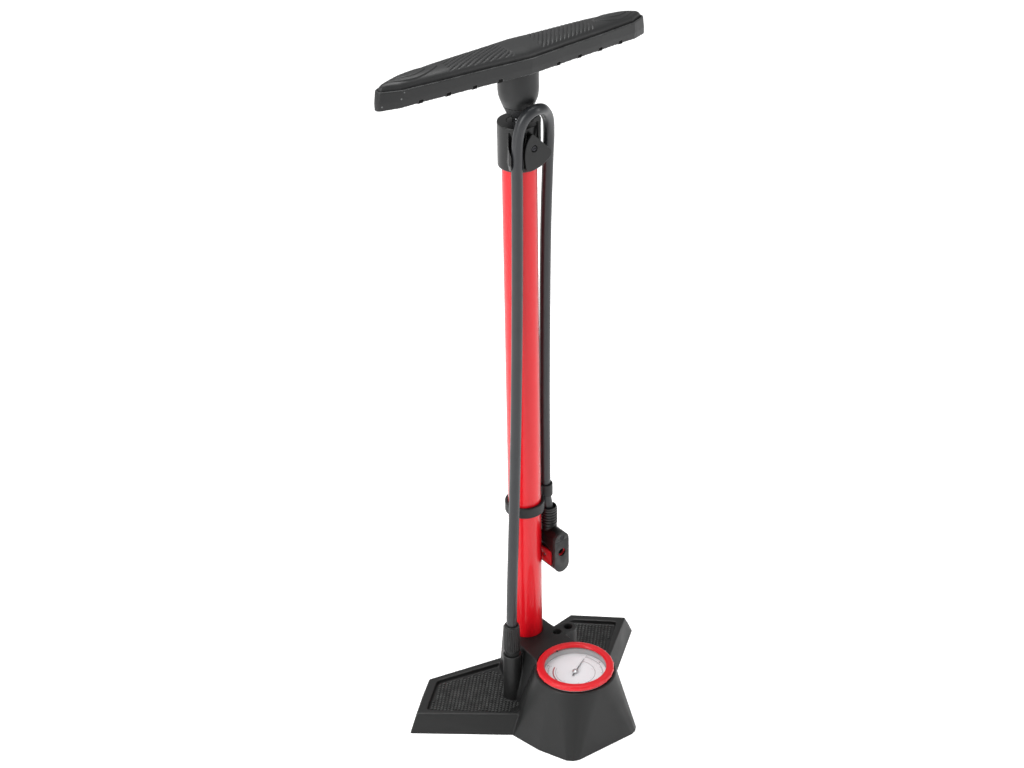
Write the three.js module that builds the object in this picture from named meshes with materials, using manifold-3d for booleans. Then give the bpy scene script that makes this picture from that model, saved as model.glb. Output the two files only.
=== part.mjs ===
// A floor pump for bicycle tyres: a steel barrel on a three-lobed foot base with a lying gauge,
// a long T handle on a piston rod, and a hose that loops over the top collar to a clipped valve head.
// Units are millimetres. Z is up, the gauge is towards -Y, and the barrel's axis is the Z axis.
// The origin is on the floor, under the barrel.
import * as THREE from "three";
import { ConvexGeometry } from "three/addons/geometries/ConvexGeometry.js";
import { mergeVertices } from "three/addons/utils/BufferGeometryUtils.js";
import Module from "manifold-3d";

const wasm = await Module();
wasm.setup();

// ---------------------------------------------------------------- driving dimensions
const GAP = 0.15; // radial gap between coaxial pieces
const SEAT = 0.3; // gap between pieces that rest on each other

const BARREL = { r: 16, wall: 1.6, foot: 14, top: 614 };

const BASE = { bottom: 0.4, wing: 20, deck: 70, noseTop: 66, wall: 3, panelDepth: 4 };
const SOCKET = { r: BARREL.r + GAP, wall: 6, floor: 14 };
const GAUGE = { y: -80.2, rimR: 37.6, viewR: 30.2, wellR: 33.6, dialZ: 62, cupFloor: 43, cupR: 33.2 };
const HOSE_BOSS = { x: -36, y: -24.5, r: 9.2, top: 69 };
const NEEDLE_SHELF = { y: -24, r: 8.4, holes: [20, 34], holeR: 3.4, holeDepth: 24 };

const COLLAR = { r: 19.7, bottom: 584, top: 626.7, lid: 616 };
const HOOK = { screwX: -1, screwZ: 608, frontY: -24.4, backY: -21.6 };
const ROD = { r: 6, wall: 1.2, bottom: 44, top: 668 };
const PISTON = { bottom: 34, top: 52, grooveLow: 40, grooveHigh: 44.4 };
const BUMPER = { bottom: 632.1, top: 642.4 };
const HANDLE = { bottom: 679.5, plugTop: 684.5, rim: 693, crown: 701, turn: -1.2 };
// Distance from the middle and half width there.
const HANDLE_HALF_WIDTHS = [[0, 22.3], [40, 19], [82, 16.4], [124, 11.6], [141.5, 3.6]];
// The ends lie back and down, and their walls lean out and deepen by these shares of their depth.
const HANDLE_BEND = { from: 22, sweep: 7, droop: 4, lean: 0.25, deepen: 0.14 };
const FINGER_RIBS = [31, 56, 81, 106]; // distances of the handle's cross ribs from its centre

const HOSE_R = 5.2;
const HEAD = {
  x: 25.5, y: -5, faceY: -26, backY: 6, halfX: 8.5,
  low: 142, high: 187.5, holeZ: 165, screwZ: 182,
};
const LEVER = { y: -8, z: 156, reach: 13.9, cheekOut: 8, cheekIn: 6.6 };
const FERRULE = { r: 8.2, low: 188.2, high: 209 };
const BAND = { low: 213.4, high: 224.4, r: 19.2 };
const HOSE_CLIP = { low: 221, high: 234, r: 7.2, x: 24.5, y: -1 };

// ---------------------------------------------------------------- finishes
const finish = (color, roughness, metalness = 0) =>
  new THREE.MeshStandardMaterial({ color, roughness, metalness });
const FINISH = {
  blackPlastic: finish(0x2b2c2d, 0.6),
  gripPlastic: finish(0x3a3b3c, 0.75),
  redPlastic: finish(0xe0262b, 0.4),
  redPaint: finish(0xc9101a, 0.18, 0.1),
  rubber: finish(0x26282b, 0.8),
  chrome: finish(0xcfd2d6, 0.15, 1),
  steel: finish(0x9a9da1, 0.35, 1),
  brass: finish(0xb08d3e, 0.3, 1),
  greyPlastic: finish(0x8d9194, 0.5),
  dialWhite: finish(0xf2f3f5, 0.5),
  glass: finish(0xe8f0f2, 0.05),
};

// ---------------------------------------------------------------- solids
// A closed geometry as a manifold-3d solid, turned right way out if it needs it.
function solid(geometry) {
  const bare = geometry.index ? geometry.toNonIndexed() : geometry.clone();
  for (const name of Object.keys(bare.attributes)) if (name !== "position") bare.deleteAttribute(name);
  const merged = mergeVertices(bare, 1e-3);
  const build = (triVerts) =>
    new wasm.Manifold(
      new wasm.Mesh({ numProp: 3, vertProperties: merged.attributes.position.array, triVerts }),
    );
  const made = build(new Uint32Array(merged.index.array));
  return made.volume() > 0 ? made : build(new Uint32Array(merged.index.array).reverse());
}

function geometryOf(made) {
  const mesh = made.getMesh();
  return new THREE.BufferGeometry()
    .setAttribute("position", new THREE.BufferAttribute(new Float32Array(mesh.vertProperties), 3))
    .setIndex(new THREE.BufferAttribute(new Uint32Array(mesh.triVerts), 1));
}

const join = (...solids) => solids.reduce((a, b) => a.add(b));
const cut = (body, ...tools) => tools.reduce((a, b) => a.subtract(b), body);

// A turned piece about Z from [radius, z] corners. It closes on itself, so a bored piece lists its bore too.
function turned(corners, segments = 28) {
  const closed = corners[0][0] > 0 ? [...corners, corners[0]] : corners;
  const points = closed.map(([r, z]) => new THREE.Vector2(r, z));
  return solid(new THREE.LatheGeometry(points, segments).rotateX(Math.PI / 2));
}
const rod = (r, low, high, segments = 24) => turned([[0, low], [r, low], [r, high], [0, high]], segments);
const ring = (outer, inner, low, high, segments = 28) =>
  turned([[inner, low], [outer, low], [outer, high], [inner, high]], segments);

const box = (x, y, z, [cx, cy, cz]) => solid(new THREE.BoxGeometry(x, y, z).translate(cx, cy, cz));
const move = (made, x, y, z) => made.translate([x, y, z]);

// The convex hull of outlines that each lie at their own height.
function hull(...levels) {
  const points = levels.flatMap(([outline, z]) => outline.map(([x, y]) => new THREE.Vector3(x, y, z)));
  return solid(new ConvexGeometry(points));
}
function circle(x, y, r, count = 32) {
  const at = (i) => (2 * Math.PI * i) / count;
  return Array.from({ length: count }, (_, i) => [x + r * Math.cos(at(i)), y + r * Math.sin(at(i))]);
}
const both = (half) => [...half, ...half.map(([x, y]) => [-x, y])];

// A plate in the XZ plane from an outline of [x, z], between two Y values.
function uprightPlate(shape, yFront, yBack, curveSegments = 10) {
  const geometry = new THREE.ExtrudeGeometry(shape, {
    depth: yBack - yFront,
    bevelEnabled: false,
    curveSegments,
  });
  return solid(geometry.rotateX(Math.PI / 2).translate(0, yBack, 0));
}

// A round bar along a smooth curve through points. Stations follow the points, so close points bend finely.
function bar(points, r, sides = 12, perSpan = 1) {
  const curve = new THREE.CatmullRomCurve3(points.map((p) => new THREE.Vector3(...p)), false, "centripetal");
  curve.getPointAt = curve.getPoint;
  curve.getTangentAt = curve.getTangent;
  const section = new THREE.Shape(circle(0, 0, r, sides).map(([x, y]) => new THREE.Vector2(x, y)));
  const steps = (points.length - 1) * perSpan;
  return solid(new THREE.ExtrudeGeometry(section, { steps, extrudePath: curve }));
}

// A slotted screw pointing down, with the underside of its head at z = 0.
function screw(headR, headHigh, shankR, length) {
  const slot = box(headR * 1.3, headR * 0.32, headHigh, [0, 0, 0]);
  const shank = [[0, -length], [shankR, -length], [shankR, 0]];
  const head = [[headR, 0], [headR, headHigh * 0.6], [headR * 0.8, headHigh], [0, headHigh]];
  const body = turned([...shank, ...head], 16);
  return cut(body, move(slot, 0, 0, headHigh * 1.1));
}

function piece(name, made, material) {
  const mesh = new THREE.Mesh(geometryOf(made), material);
  mesh.name = name;
  return mesh;
}
function group(...children) {
  const made = new THREE.Group();
  made.add(...children);
  return made;
}

// ---------------------------------------------------------------- foot base
// Half outlines: the wing swept back to its tip, and the nose under the gauge.
const WING_TOP = [[0, 27.5], [16, 27.5], [89.8, 44.4], [131.8, 6.4], [52.8, -55.7], [0, -55.7]];
const WING_FOOT = [[0, 33], [18, 33], [94.5, 54], [143.6, 7], [64, -60.6], [0, -60.6]];
const NOSE_FOOT = [
  [64, -60.6], [57.5, -94.5], [45.5, -124.5], [41, -129], [35.5, -131], [12, -131], [50, -40],
];
const PANEL = [[34, 25], [87.5, 37], [119.5, 6.2], [55, -44], [50, -30]];

const inset = (half, by) => half.map(([x, y]) => [x - Math.sign(x) * by, y - Math.sign(y) * by]);
const mirrored = (half, side) => half.map(([x, y]) => [side * x, y]);

// The base as a solid lump, or the room inside it when shrunk by the wall.
function baseLump(shrink) {
  const { bottom, wing, deck, noseTop } = BASE;
  const low = shrink > 1 ? bottom - 5 : bottom;
  const wings = [1, -1].map((side) =>
    hull(
      [mirrored(inset(WING_TOP, shrink), side), wing - shrink],
      [mirrored(inset(WING_FOOT, shrink), side), low],
    ),
  );
  const nose = hull(
    [circle(0, GAUGE.y, GAUGE.rimR + 2.2 - shrink), noseTop - shrink],
    [both(inset(NOSE_FOOT, shrink)), low],
  );
  const hub = hull(
    [both([[22.4 - shrink, 4], [17 - shrink, 18 - shrink], [25 - shrink, -52]]), deck - shrink],
    [both([[26 - shrink, 6], [19 - shrink, 24 - shrink], [45 - shrink, -52]]), low],
  );
  return join(nose, hub, ...wings);
}

function needleShelf() {
  const { y, r, holes } = NEEDLE_SHELF;
  const outline = (grow) => [...circle(holes[1], y, r + grow, 20), [10, y - r - grow], [10, y + r + grow]];
  return hull([outline(0), BASE.deck], [outline(1.5), BASE.wing - 6]);
}

function baseShell() {
  const { wing, deck, noseTop, panelDepth, wall } = BASE;
  const boss = move(rod(HOSE_BOSS.r, wing - 7, HOSE_BOSS.top, 28), HOSE_BOSS.x, HOSE_BOSS.y, 0);
  const bossWeb = box(14, 9, noseTop - wing, [-29, HOSE_BOSS.y + 1, (noseTop + wing) / 2]);
  const skin = cut(join(baseLump(0), needleShelf(), boss, bossWeb), baseLump(wall));

  const panelFloor = wing - panelDepth;
  const panels = [1, -1].map((side) =>
    hull([mirrored(PANEL, side), wing + 1], [mirrored(inset(PANEL, 0.8), side), panelFloor]),
  );
  const panelFloors = [1, -1].map((side) =>
    hull([mirrored(PANEL, side), panelFloor], [mirrored(PANEL, side), panelFloor - wall]),
  );
  const gaugeWell = move(ring(GAUGE.wellR + 2.6, GAUGE.wellR, GAUGE.cupFloor, noseTop - 1), 0, GAUGE.y, 0);
  const barrelSocket = rod(SOCKET.r + SOCKET.wall, SOCKET.floor - 4, deck - 1);
  const ribs = [-1, 1].flatMap((side) => [
    box(62, 2.2, 12, [side * 66, 2, 9.5]),
    box(2.2, 56, 11, [side * 78, 2, 9.5]),
  ]);
  const pads = PAD_PLACES.map((place) => padShape(place, 1.8, 3.2, panelFloor - 1));
  const insides = join(...panelFloors, gaugeWell, barrelSocket, ...ribs, ...pads).intersect(baseLump(0.4));

  const needleHoles = NEEDLE_SHELF.holes.map((x) =>
    move(rod(NEEDLE_SHELF.holeR, deck - NEEDLE_SHELF.holeDepth, deck + 2, 16), x, NEEDLE_SHELF.y, 0),
  );
  return cut(
    join(cut(skin, ...panels), insides),
    ...panels,
    rod(SOCKET.r, SOCKET.floor, deck + 4, 36),
    rod(24, 3, SOCKET.floor, 24),
    move(rod(GAUGE.wellR, GAUGE.cupFloor - 2, deck + 4, 28), 0, GAUGE.y, 0),
    move(rod(GAUGE.rimR + 1.2, noseTop, deck + 4, 28), 0, GAUGE.y, 0),
    move(rod(6.1, wing - 10, HOSE_BOSS.top + 2, 20), HOSE_BOSS.x, HOSE_BOSS.y, 0),
    ...needleHoles,
    ...BLOCK_SCREWS.map(([x, y]) => move(rod(1.7, SOCKET.floor - 1, SOCKET.floor + 4.4, 12), x, y, 0)),
  );
}

// Rubber pads: a round-ended bar at each place [x, y, turn about Z, half length].
const PAD_PLACES = [[106, 20, -0.74, 15], [-106, 20, 0.74, 15], [22, -118, 0, 9], [-22, -118, 0, 9]];
function padShape([x, y, turn, half], grow, low, high) {
  const ends = [-1, 1].flatMap((s) =>
    circle(x + s * half * Math.cos(turn), y + s * half * Math.sin(turn), 5 + grow, 16),
  );
  return hull([ends, low], [ends, high]);
}

// ---------------------------------------------------------------- barrel foot: valve block and its passages
const BLOCK_SCREWS = [[19.2, 0], [-9.6, 16.6], [-9.6, -16.6]];
const CHECK = { low: 12, top: 27, bore: 3.6, ballR: 3, ballZ: 24.2 };

function valveBlock() {
  const flange = rod(23.4, 8, SOCKET.floor - SEAT, 28);
  const spigot = rod(BARREL.r - BARREL.wall - GAP, 8, 32, 28);
  const toBoss = new THREE.Vector2(HOSE_BOSS.x, HOSE_BOSS.y);
  const towards = (toBoss.angle() * 180) / Math.PI;
  const arm = solid(new THREE.BoxGeometry(toBoss.length(), 9, 6)).rotate([0, 0, towards]);
  const hoseArm = move(arm, HOSE_BOSS.x / 2, HOSE_BOSS.y / 2, 8);
  const gaugeArm = box(8, -GAUGE.y, 6, [0, GAUGE.y / 2, 8]);
  const hosePillar = move(rod(5.2, 5, 12.4, 20), HOSE_BOSS.x, HOSE_BOSS.y, 0);
  const gaugePillar = move(rod(6, 5, 30, 20), 0, GAUGE.y, 0);
  const body = join(flange, spigot, hoseArm, gaugeArm, hosePillar, gaugePillar);
  return cut(
    body,
    ring(BARREL.r, BARREL.r - BARREL.wall - 1.4, 26, 29.4),
    rod(CHECK.bore, CHECK.low, CHECK.top, 16),
    rod(1.8, CHECK.top - 1, 40, 12),
    rod(CENTRE_FOOT.r + GAP, 0, CENTRE_FOOT.shoulder + SEAT, 24),
    rod(CENTRE_FOOT.studR + GAP, 0, CENTRE_FOOT.top + GAP, 24),
    move(rod(1.6, 24, 34, 12), 0, GAUGE.y, 0),
    ...BLOCK_SCREWS.map(([x, y]) => move(rod(1.9, 0, 20, 12), x, y, 0)),
  );
}

// The rubber foot under the barrel takes the push of the stroke to the floor.
const CENTRE_FOOT = { r: 12, shoulder: 7.7, studR: 6, top: 9.8 };
function centreFoot() {
  const { r, shoulder, studR, top } = CENTRE_FOOT;
  return turned([[0, 0], [r - 1, 0], [r, 1], [r, shoulder], [studR, shoulder], [studR, top], [0, top]], 24);
}

const checkBall = () => solid(new THREE.SphereGeometry(CHECK.ballR, 14, 9)).translate([0, 0, CHECK.ballZ]);
const checkSpring = () => coil(2.1, 0.35, CHECK.low + SEAT, CHECK.ballZ - CHECK.ballR - 0.1, 5);

// A closed coil whose turns follow a helix about Z.
function coil(r, wire, low, high, turns, perTurn = 9, sides = 5) {
  const helix = new THREE.Curve();
  helix.getPoint = (t, target = new THREE.Vector3()) => {
    const a = 2 * Math.PI * turns * t;
    return target.set(r * Math.cos(a), r * Math.sin(a), low + wire + (high - low - 2 * wire) * t);
  };
  helix.getPointAt = helix.getPoint;
  helix.getTangentAt = helix.getTangent;
  const section = new THREE.Shape(circle(0, 0, wire, sides).map(([x, y]) => new THREE.Vector2(x, y)));
  return solid(new THREE.ExtrudeGeometry(section, { steps: turns * perTurn, extrudePath: helix }));
}

// ---------------------------------------------------------------- collar, hook, bands
function topCollar() {
  const { r, bottom, top, lid } = COLLAR;
  const bore = BARREL.r + GAP;
  const body = turned([
    [11.2, top], [r - 1, top], [r, top - 1], [r, bottom + 1.5], [r - 1.5, bottom], [bore, bottom],
    [bore, lid], [9.2, lid], [9.2, top - 3.2], [11.2, top - 3.2],
  ]);
  const saddleEnd = [...circle(-12, -14, 8, 20), ...circle(-13.6, -16, 8, 20)];
  const saddleMiddle = [...circle(-13.5, -15.8, 9.4, 20), ...circle(-17, -19.6, 7.6, 20)];
  const saddle = hull([saddleEnd, bottom + 5], [saddleMiddle, bottom + 12], [saddleEnd, top - 5]);
  const hoseWay = [[-17, -19.3, 560], [-16.7, -19.2, 590], [-16.2, -19.3, 608], [-14, -21.5, 640]];
  const channel = bar(hoseWay, HOSE_R + 0.4, 12);
  const mouth = box(8.6, 20, 60, [0, 0, 0]).rotate([0, 0, -41]).translate([-23.6, -26.8, 600]);
  const funnel = move(turned([[0, 602], [5, 602], [13, 628], [0, 628]], 20), -17.5, -20.6, 0);
  return cut(
    join(body, cut(saddle, rod(15, bottom, top))),
    rod(bore, bottom - 1, lid),
    channel,
    mouth,
    cut(funnel, rod(r, 600, 630)),
    box(43.6, 10, 60, [2.4, HOOK.backY - 4.8, 606]),
    move(rod(1.7, 0, 8, 12).rotate([90, 0, 0]), HOOK.screwX, -r + 6, HOOK.screwZ),
  );
}

// The shield-shaped plate keeps the hose loop off the barrel, and its horn stands inside the loop.
function hoseHook() {
  const { screwX, screwZ, frontY, backY } = HOOK;
  const plate = new THREE.Shape();
  plate.moveTo(-2.5, 14);
  plate.quadraticCurveTo(-7.5, 9.5, -9.4, 2.9);
  plate.lineTo(-10.5, -4.4);
  plate.lineTo(-10, -12.3);
  plate.quadraticCurveTo(-9, -20.4, -3.6, -20.8);
  plate.lineTo(7.3, -19);
  plate.lineTo(16, -13.4);
  plate.quadraticCurveTo(20.4, -9.7, 18.3, -6.4);
  plate.lineTo(-0.6, 13.6);
  plate.quadraticCurveTo(-1.4, 14.6, -2.5, 14);
  const front = move(uprightPlate(plate, frontY, backY, 5), screwX, 0, screwZ);
  const post = hull([circle(4.6, -22.8, 1.8, 12), screwZ - 2], [circle(7, -20.4, 1.8, 12), 635]);
  const knob = hull(
    [circle(0, -20.6, 1.7, 12), 632.5],
    [circle(0, -20.6, 1.5, 12), 635],
    [circle(7, -20.3, 1.8, 12), 633],
    [circle(6, -20.2, 1.5, 12), 637],
  );
  const alongScrew = (radius, high, y) =>
    rod(radius, 0, high, 16).rotate([90, 0, 0]).translate([screwX, y, screwZ]);
  return cut(
    join(front, alongScrew(4.6, 1.6, backY + 1.5), post, knob),
    rod(COLLAR.r + 0.2, 570, COLLAR.top + 1),
    alongScrew(1.9, 12, -16),
    alongScrew(3.3, 3, frontY + 2.1),
  );
}

function clipBand() {
  const { low, high, r, x, y } = HOSE_CLIP;
  const band = ring(BAND.r, BARREL.r + GAP, BAND.low, BAND.high, 36);
  const neck = box(4, 7, high - BAND.low, [BAND.r - 1.2, y, (high + BAND.low) / 2]);
  const slot = box(12, 7.6, high - low + 2, [6, 0, (high + low) / 2]);
  const mouth = slot.rotate([0, 0, 55]).translate([x, y, 0]);
  const clip = cut(move(rod(r, low, high, 24), x, y, 0), mouth);
  const hoseRoom = move(rod(HOSE_R + 0.5, 205, 260, 20), x, y, 0);
  return cut(join(band, neck, clip), rod(BARREL.r + GAP, 200, 260, 36), hoseRoom);
}

// ---------------------------------------------------------------- hose and its ends
const HOSE_PATH = [
  [HOSE_BOSS.x, HOSE_BOSS.y, 70], [HOSE_BOSS.x, HOSE_BOSS.y, 100], [-35, -24.2, 130], [-28.7, -22.5, 240],
  [-23.2, -21, 351], [-19.4, -19.9, 458], [-17.1, -19.4, 560], [-16.6, -19.3, 600], [-15.6, -20.3, 622],
  [-11.8, -22.7, 637], [-6, -24.4, 643.2], [0.4, -24.9, 645.2], [8, -23.2, 643.4], [15.6, -18.3, 637],
  [23, -12.7, 626.6], [28, -7, 609.5], [28.5, -4.4, 580], [27, -2.4, 510], [25, -1, 351],
  [24.5, -1, 262], [24.5, -1, 236],
  [24.5, -1.3, 222], [24.9, -3.2, 212], [25.4, -4.8, 204], [HEAD.x, HEAD.y, 197],
];
const hose = () => bar(HOSE_PATH, HOSE_R, 10, 2);

function hoseFitting() {
  const tail = [[2, 12.8], [4.2, 12.8], [4.2, 34], [5.9, 34]];
  const collar = [[5.9, 69.6], [7.2, 69.9], [7.2, 71.5], [6.3, 72]];
  const cup = [[6.3, 78], [5.4, 78], [5.4, 69.2], [2, 69.2]];
  return move(turned([...tail, ...collar, ...cup], 20), HOSE_BOSS.x, HOSE_BOSS.y, 0);
}

function hoseNut() {
  const [low, high] = [72.3, 104];
  const outside = [[6.5, low], [7.9, low], [8.1, low + 3], [7.7, high - 3], [7, high]];
  const body = turned([...outside, [5.35, high], [5.35, 80], [6.5, 80]], 24);
  const ribs = Array.from({ length: 12 }, (_, i) =>
    box(1.5, 1.4, high - low - 9, [7.7, 0, (low + high) / 2 + 0.5]).rotate([0, 0, i * 30]));
  const roomInside = rod(6.5, low - 1, high + 1, 24);
  return move(join(body, cut(join(...ribs), roomInside)), HOSE_BOSS.x, HOSE_BOSS.y, 0);
}

// ---------------------------------------------------------------- valve head
const alongY = (r, yFront, yBack, segments = 16) =>
  rod(r, 0, yBack - yFront, segments).rotate([-90, 0, 0]).translate([0, yFront, 0]);
const alongX = (r, half, segments = 16) => rod(r, -half, half, segments).rotate([0, 90, 0]);

// The head seen from the front: an upright stadium.
function headOutline() {
  const { halfX: r, low, high } = HEAD;
  const shape = new THREE.Shape();
  shape.absarc(0, low + r, r, Math.PI, 2 * Math.PI);
  shape.absarc(0, high - r, r, 0, Math.PI);
  return shape;
}
const valveHole = (r, yFront, yBack) => move(alongY(r, yFront, yBack, 20), 0, 0, HEAD.holeZ);
const mouthScrewHole = (r, yFront, yBack) => move(alongY(r, yFront, yBack, 12), 0, 0, HEAD.screwZ);

function headBody() {
  const { faceY, backY, low, high, halfX } = HEAD;
  const front = faceY + 2;
  const block = uprightPlate(headOutline(), front, backY, 8);
  // The lower back is round about the lever's pin, so that the lever's arm swings past it.
  const slab = alongX(LEVER.reach, halfX + 1, 32).translate([0, LEVER.y, LEVER.z]);
  const profile = join(
    slab,
    box(40, LEVER.y - front, 80, [0, (LEVER.y + front) / 2, LEVER.z]),
    box(40, backY - LEVER.y, 60, [0, (LEVER.y + backY) / 2, LEVER.z + 39.2]),
  );
  const neck = move(rod(6.4, high - 9, FERRULE.high - 7, 24), 0, HEAD.y, 0);
  const shoulder = move(rod(7.9, high - 9, FERRULE.low - SEAT, 24), 0, HEAD.y, 0);
  const pockets = [-1, 1].map((side) =>
    alongX(LEVER.reach + SEAT, 3, 32).translate([side * (LEVER.cheekIn - GAP + 3), LEVER.y, LEVER.z]));
  const backs = [-1, 1].map((side) =>
    box(6, 20, 17.6, [side * (LEVER.cheekIn - GAP + 3), LEVER.y + 14, LEVER.z]));
  const body = cut(
    join(block.intersect(profile), neck, shoulder),
    ...pockets,
    ...backs,
    valveHole(5.4, faceY, faceY + 12),
    valveHole(2, faceY, HEAD.y + 1),
    mouthScrewHole(1.4, faceY, faceY + 9),
    alongX(1.65, 10).translate([0, LEVER.y, LEVER.z]),
    rod(HOSE_R + GAP, 196.6, 216, 20).translate([0, HEAD.y, 0]),
    rod(2, HEAD.holeZ, 200, 12).translate([0, HEAD.y, 0]),
  );
  return move(body, HEAD.x, 0, 0);
}

// The mouth plate covers the face and holds the gasket in. A tyre valve goes in through its hole.
function headMouth() {
  const plate = uprightPlate(headOutline(), HEAD.faceY, HEAD.faceY + 2 - SEAT, 8);
  const holed = cut(
    plate,
    valveHole(4.3, HEAD.faceY - 1, HEAD.faceY + 3),
    mouthScrewHole(1.6, HEAD.faceY - 1, HEAD.faceY + 3),
    mouthScrewHole(2.5, HEAD.faceY - 1, HEAD.faceY + 1),
  );
  return move(holed, HEAD.x, 0, 0);
}
const bushAlongY = (outer, inner, yFront, yBack) =>
  move(ring(outer, inner, 0, yBack - yFront, 20).rotate([-90, 0, 0]), HEAD.x, yFront, HEAD.holeZ);

// Two cheeks on the pin, joined behind the head by a thumb arm.
function headLever() {
  const { y, z, reach, cheekOut, cheekIn } = LEVER;
  const side = new THREE.Shape();
  side.moveTo(y - 10.6, z - 8);
  side.lineTo(y - 10.2, z + 8.6);
  side.lineTo(y + reach + 2, z + 7);
  side.quadraticCurveTo(y + reach + 14, z + 6.4, y + reach + 25, z + 12);
  side.lineTo(y + reach + 27, z + 8.6);
  side.quadraticCurveTo(y + reach + 12, z, y + reach, z - 1.4);
  side.lineTo(y + 5, z - 8);
  const drawn = { depth: 2 * cheekOut, bevelEnabled: false, curveSegments: 6 };
  const sideways = new THREE.ExtrudeGeometry(side, drawn).rotateX(Math.PI / 2).rotateZ(Math.PI / 2);
  const arm = solid(sideways.translate(-cheekOut, 0, 0));
  const room = join(
    alongX(reach + 0.4, cheekIn, 32).translate([0, y, z]),
    box(2 * cheekIn, 30, 40, [0, y - 15, z]),
  );
  const windows = [-1, 1].map((s) => box(1.2, 9, 7, [s * cheekOut, y + 5.5, z]));
  return move(cut(arm, room, alongX(1.65, 20).translate([0, y, z]), ...windows), HEAD.x, 0, 0);
}
const leverPin = () => alongX(1.5, LEVER.cheekOut - 0.1).translate([HEAD.x, LEVER.y, LEVER.z]);

function headFerrule() {
  const { r, low, high } = FERRULE;
  const bore = 6.4 + GAP;
  const steps = Array.from({ length: 4 }, (_, i) => low + 2 + i * 4.4)
    .flatMap((z) => [[r - 0.9, z], [r, z + 0.6], [r, z + 2.8], [r - 0.9, z + 3.4]]);
  const inside = [[6.9, high], [6.9, high - 5], [bore, high - 6]];
  const sleeve = turned([[bore, low], [r - 0.9, low], ...steps, [r - 0.9, high], ...inside], 20);
  return move(sleeve, HEAD.x, HEAD.y, 0);
}

// ---------------------------------------------------------------- gauge, about its own centre line
function gaugeCup() {
  const { cupR, cupFloor, dialZ } = GAUGE;
  const [lipLow, lipHigh] = [BASE.noseTop + 0.2, BASE.noseTop + 1.4];
  const outside = [[4.2, cupFloor], [cupR, cupFloor], [cupR, lipLow], [36.4, lipLow], [36.4, lipHigh]];
  const dialLedge = [[31.4, lipHigh], [31.4, dialZ - 1.1], [29.6, dialZ - 1.1]];
  return turned([...outside, ...dialLedge, [29.6, cupFloor + 2], [4.2, cupFloor + 2]]);
}
const gaugeStem = () => turned([[0, 30.3], [3.6, 30.3], [3.6, 46], [3.9, 46], [3.9, 52], [0, 52]], 12);

function bourdonTube() {
  const arc = Array.from({ length: 15 }, (_, i) => {
    const a = -Math.PI / 2 - 0.1 - (i / 14) * (1.42 * Math.PI);
    const r = 24 - 1.5 * (i / 14);
    return [r * Math.cos(a), r * Math.sin(a), 50];
  });
  const tail = bar([[1, -4.4, 50], [0.6, -12, 50], [-0.6, -19, 50], arc[0], arc[1]], 1.4, 8, 2);
  return join(bar(arc, 2.2, 8), tail);
}

const MOVEMENT = { plateZ: 54.5, sectorPivot: [9, -11], gearZ: 57, ratio: 7.5 };
const SECTOR_ARM = Math.hypot(...MOVEMENT.sectorPivot);
const PINION_R = SECTOR_ARM / (MOVEMENT.ratio + 1);

function movementPlate() {
  const [sx, sy] = MOVEMENT.sectorPivot;
  const outline = [...circle(0, 0, 6, 16), ...circle(sx, sy, 5, 12)];
  const plate = hull([outline, 52.3], [outline, MOVEMENT.plateZ]);
  const post = move(rod(1.4, MOVEMENT.plateZ - 1, 59, 12), sx, sy, 0);
  return cut(join(plate, post), rod(0.95, 50, 60, 12));
}

// A toothed sector: its rim is as far from its pivot as the ratio says, less a clearance.
function sectorGear() {
  const shape = new THREE.Shape();
  const pitch = SECTOR_ARM - PINION_R - 0.55;
  const half = 0.5;
  const teeth = 22;
  shape.moveTo(0, -2.4);
  for (let i = 0; i <= teeth; i++) {
    const a = -half + (2 * half * i) / teeth;
    const r = pitch + (i % 2 ? 0.35 : -0.35);
    shape.lineTo(r * Math.cos(a), r * Math.sin(a));
  }
  shape.lineTo(0, 2.4);
  shape.lineTo(-9, 1.2);
  shape.lineTo(-9, -1.2);
  const blank = solid(new THREE.ExtrudeGeometry(shape, { depth: 1.2, bevelEnabled: false }));
  return cut(blank, rod(1.6, -1, 3, 12));
}
const pinion = () => join(rod(0.75, 53.4, 64.6, 10), rod(PINION_R - 0.2, 56.9, 58.4, 14));

function needle() {
  const outline = [[-7, -0.9], [-7, 0.9], [23, 0.25], [23, -0.25]];
  const [low, high] = [GAUGE.dialZ + 0.9, GAUGE.dialZ + 1.5];
  const blade = hull([outline, low], [outline, high]);
  return cut(join(blade, rod(2.6, low, low + 2.3, 20)), rod(0.9, low - 1, low + 1.9, 10));
}
const dial = () => ring(30.9, 1.3, GAUGE.dialZ - 0.8, GAUGE.dialZ, 40);
const lens = () => rod(33.2, BASE.noseTop + 1.7, BASE.noseTop + 3.4, 40);

function bezel() {
  const low = BASE.noseTop + 1.7;
  const { rimR, viewR } = GAUGE;
  const outside = [[33.6, low], [rimR, low], [rimR, low + 3], [rimR - 1.4, low + 4.6]];
  const inside = [[viewR + 1, low + 4.6], [viewR, low + 3.6], [viewR, low + 2], [33.6, low + 2]];
  const body = turned([...outside, ...inside], 36);
  const bumps = Array.from({ length: 12 }, (_, i) =>
    box(1.6, 2, 2.6, [rimR - 0.2, 0, low + 1.6]).rotate([0, 0, i * 30 + 4]));
  const arrow = [[viewR - 1.8, 0], [viewR + 1, -1.6], [viewR + 1, 1.6]];
  const marker = hull([arrow, low + 2.3], [arrow, low + 3.4]);
  return join(body, ...bumps, marker.rotate([0, 0, 97]));
}

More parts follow.
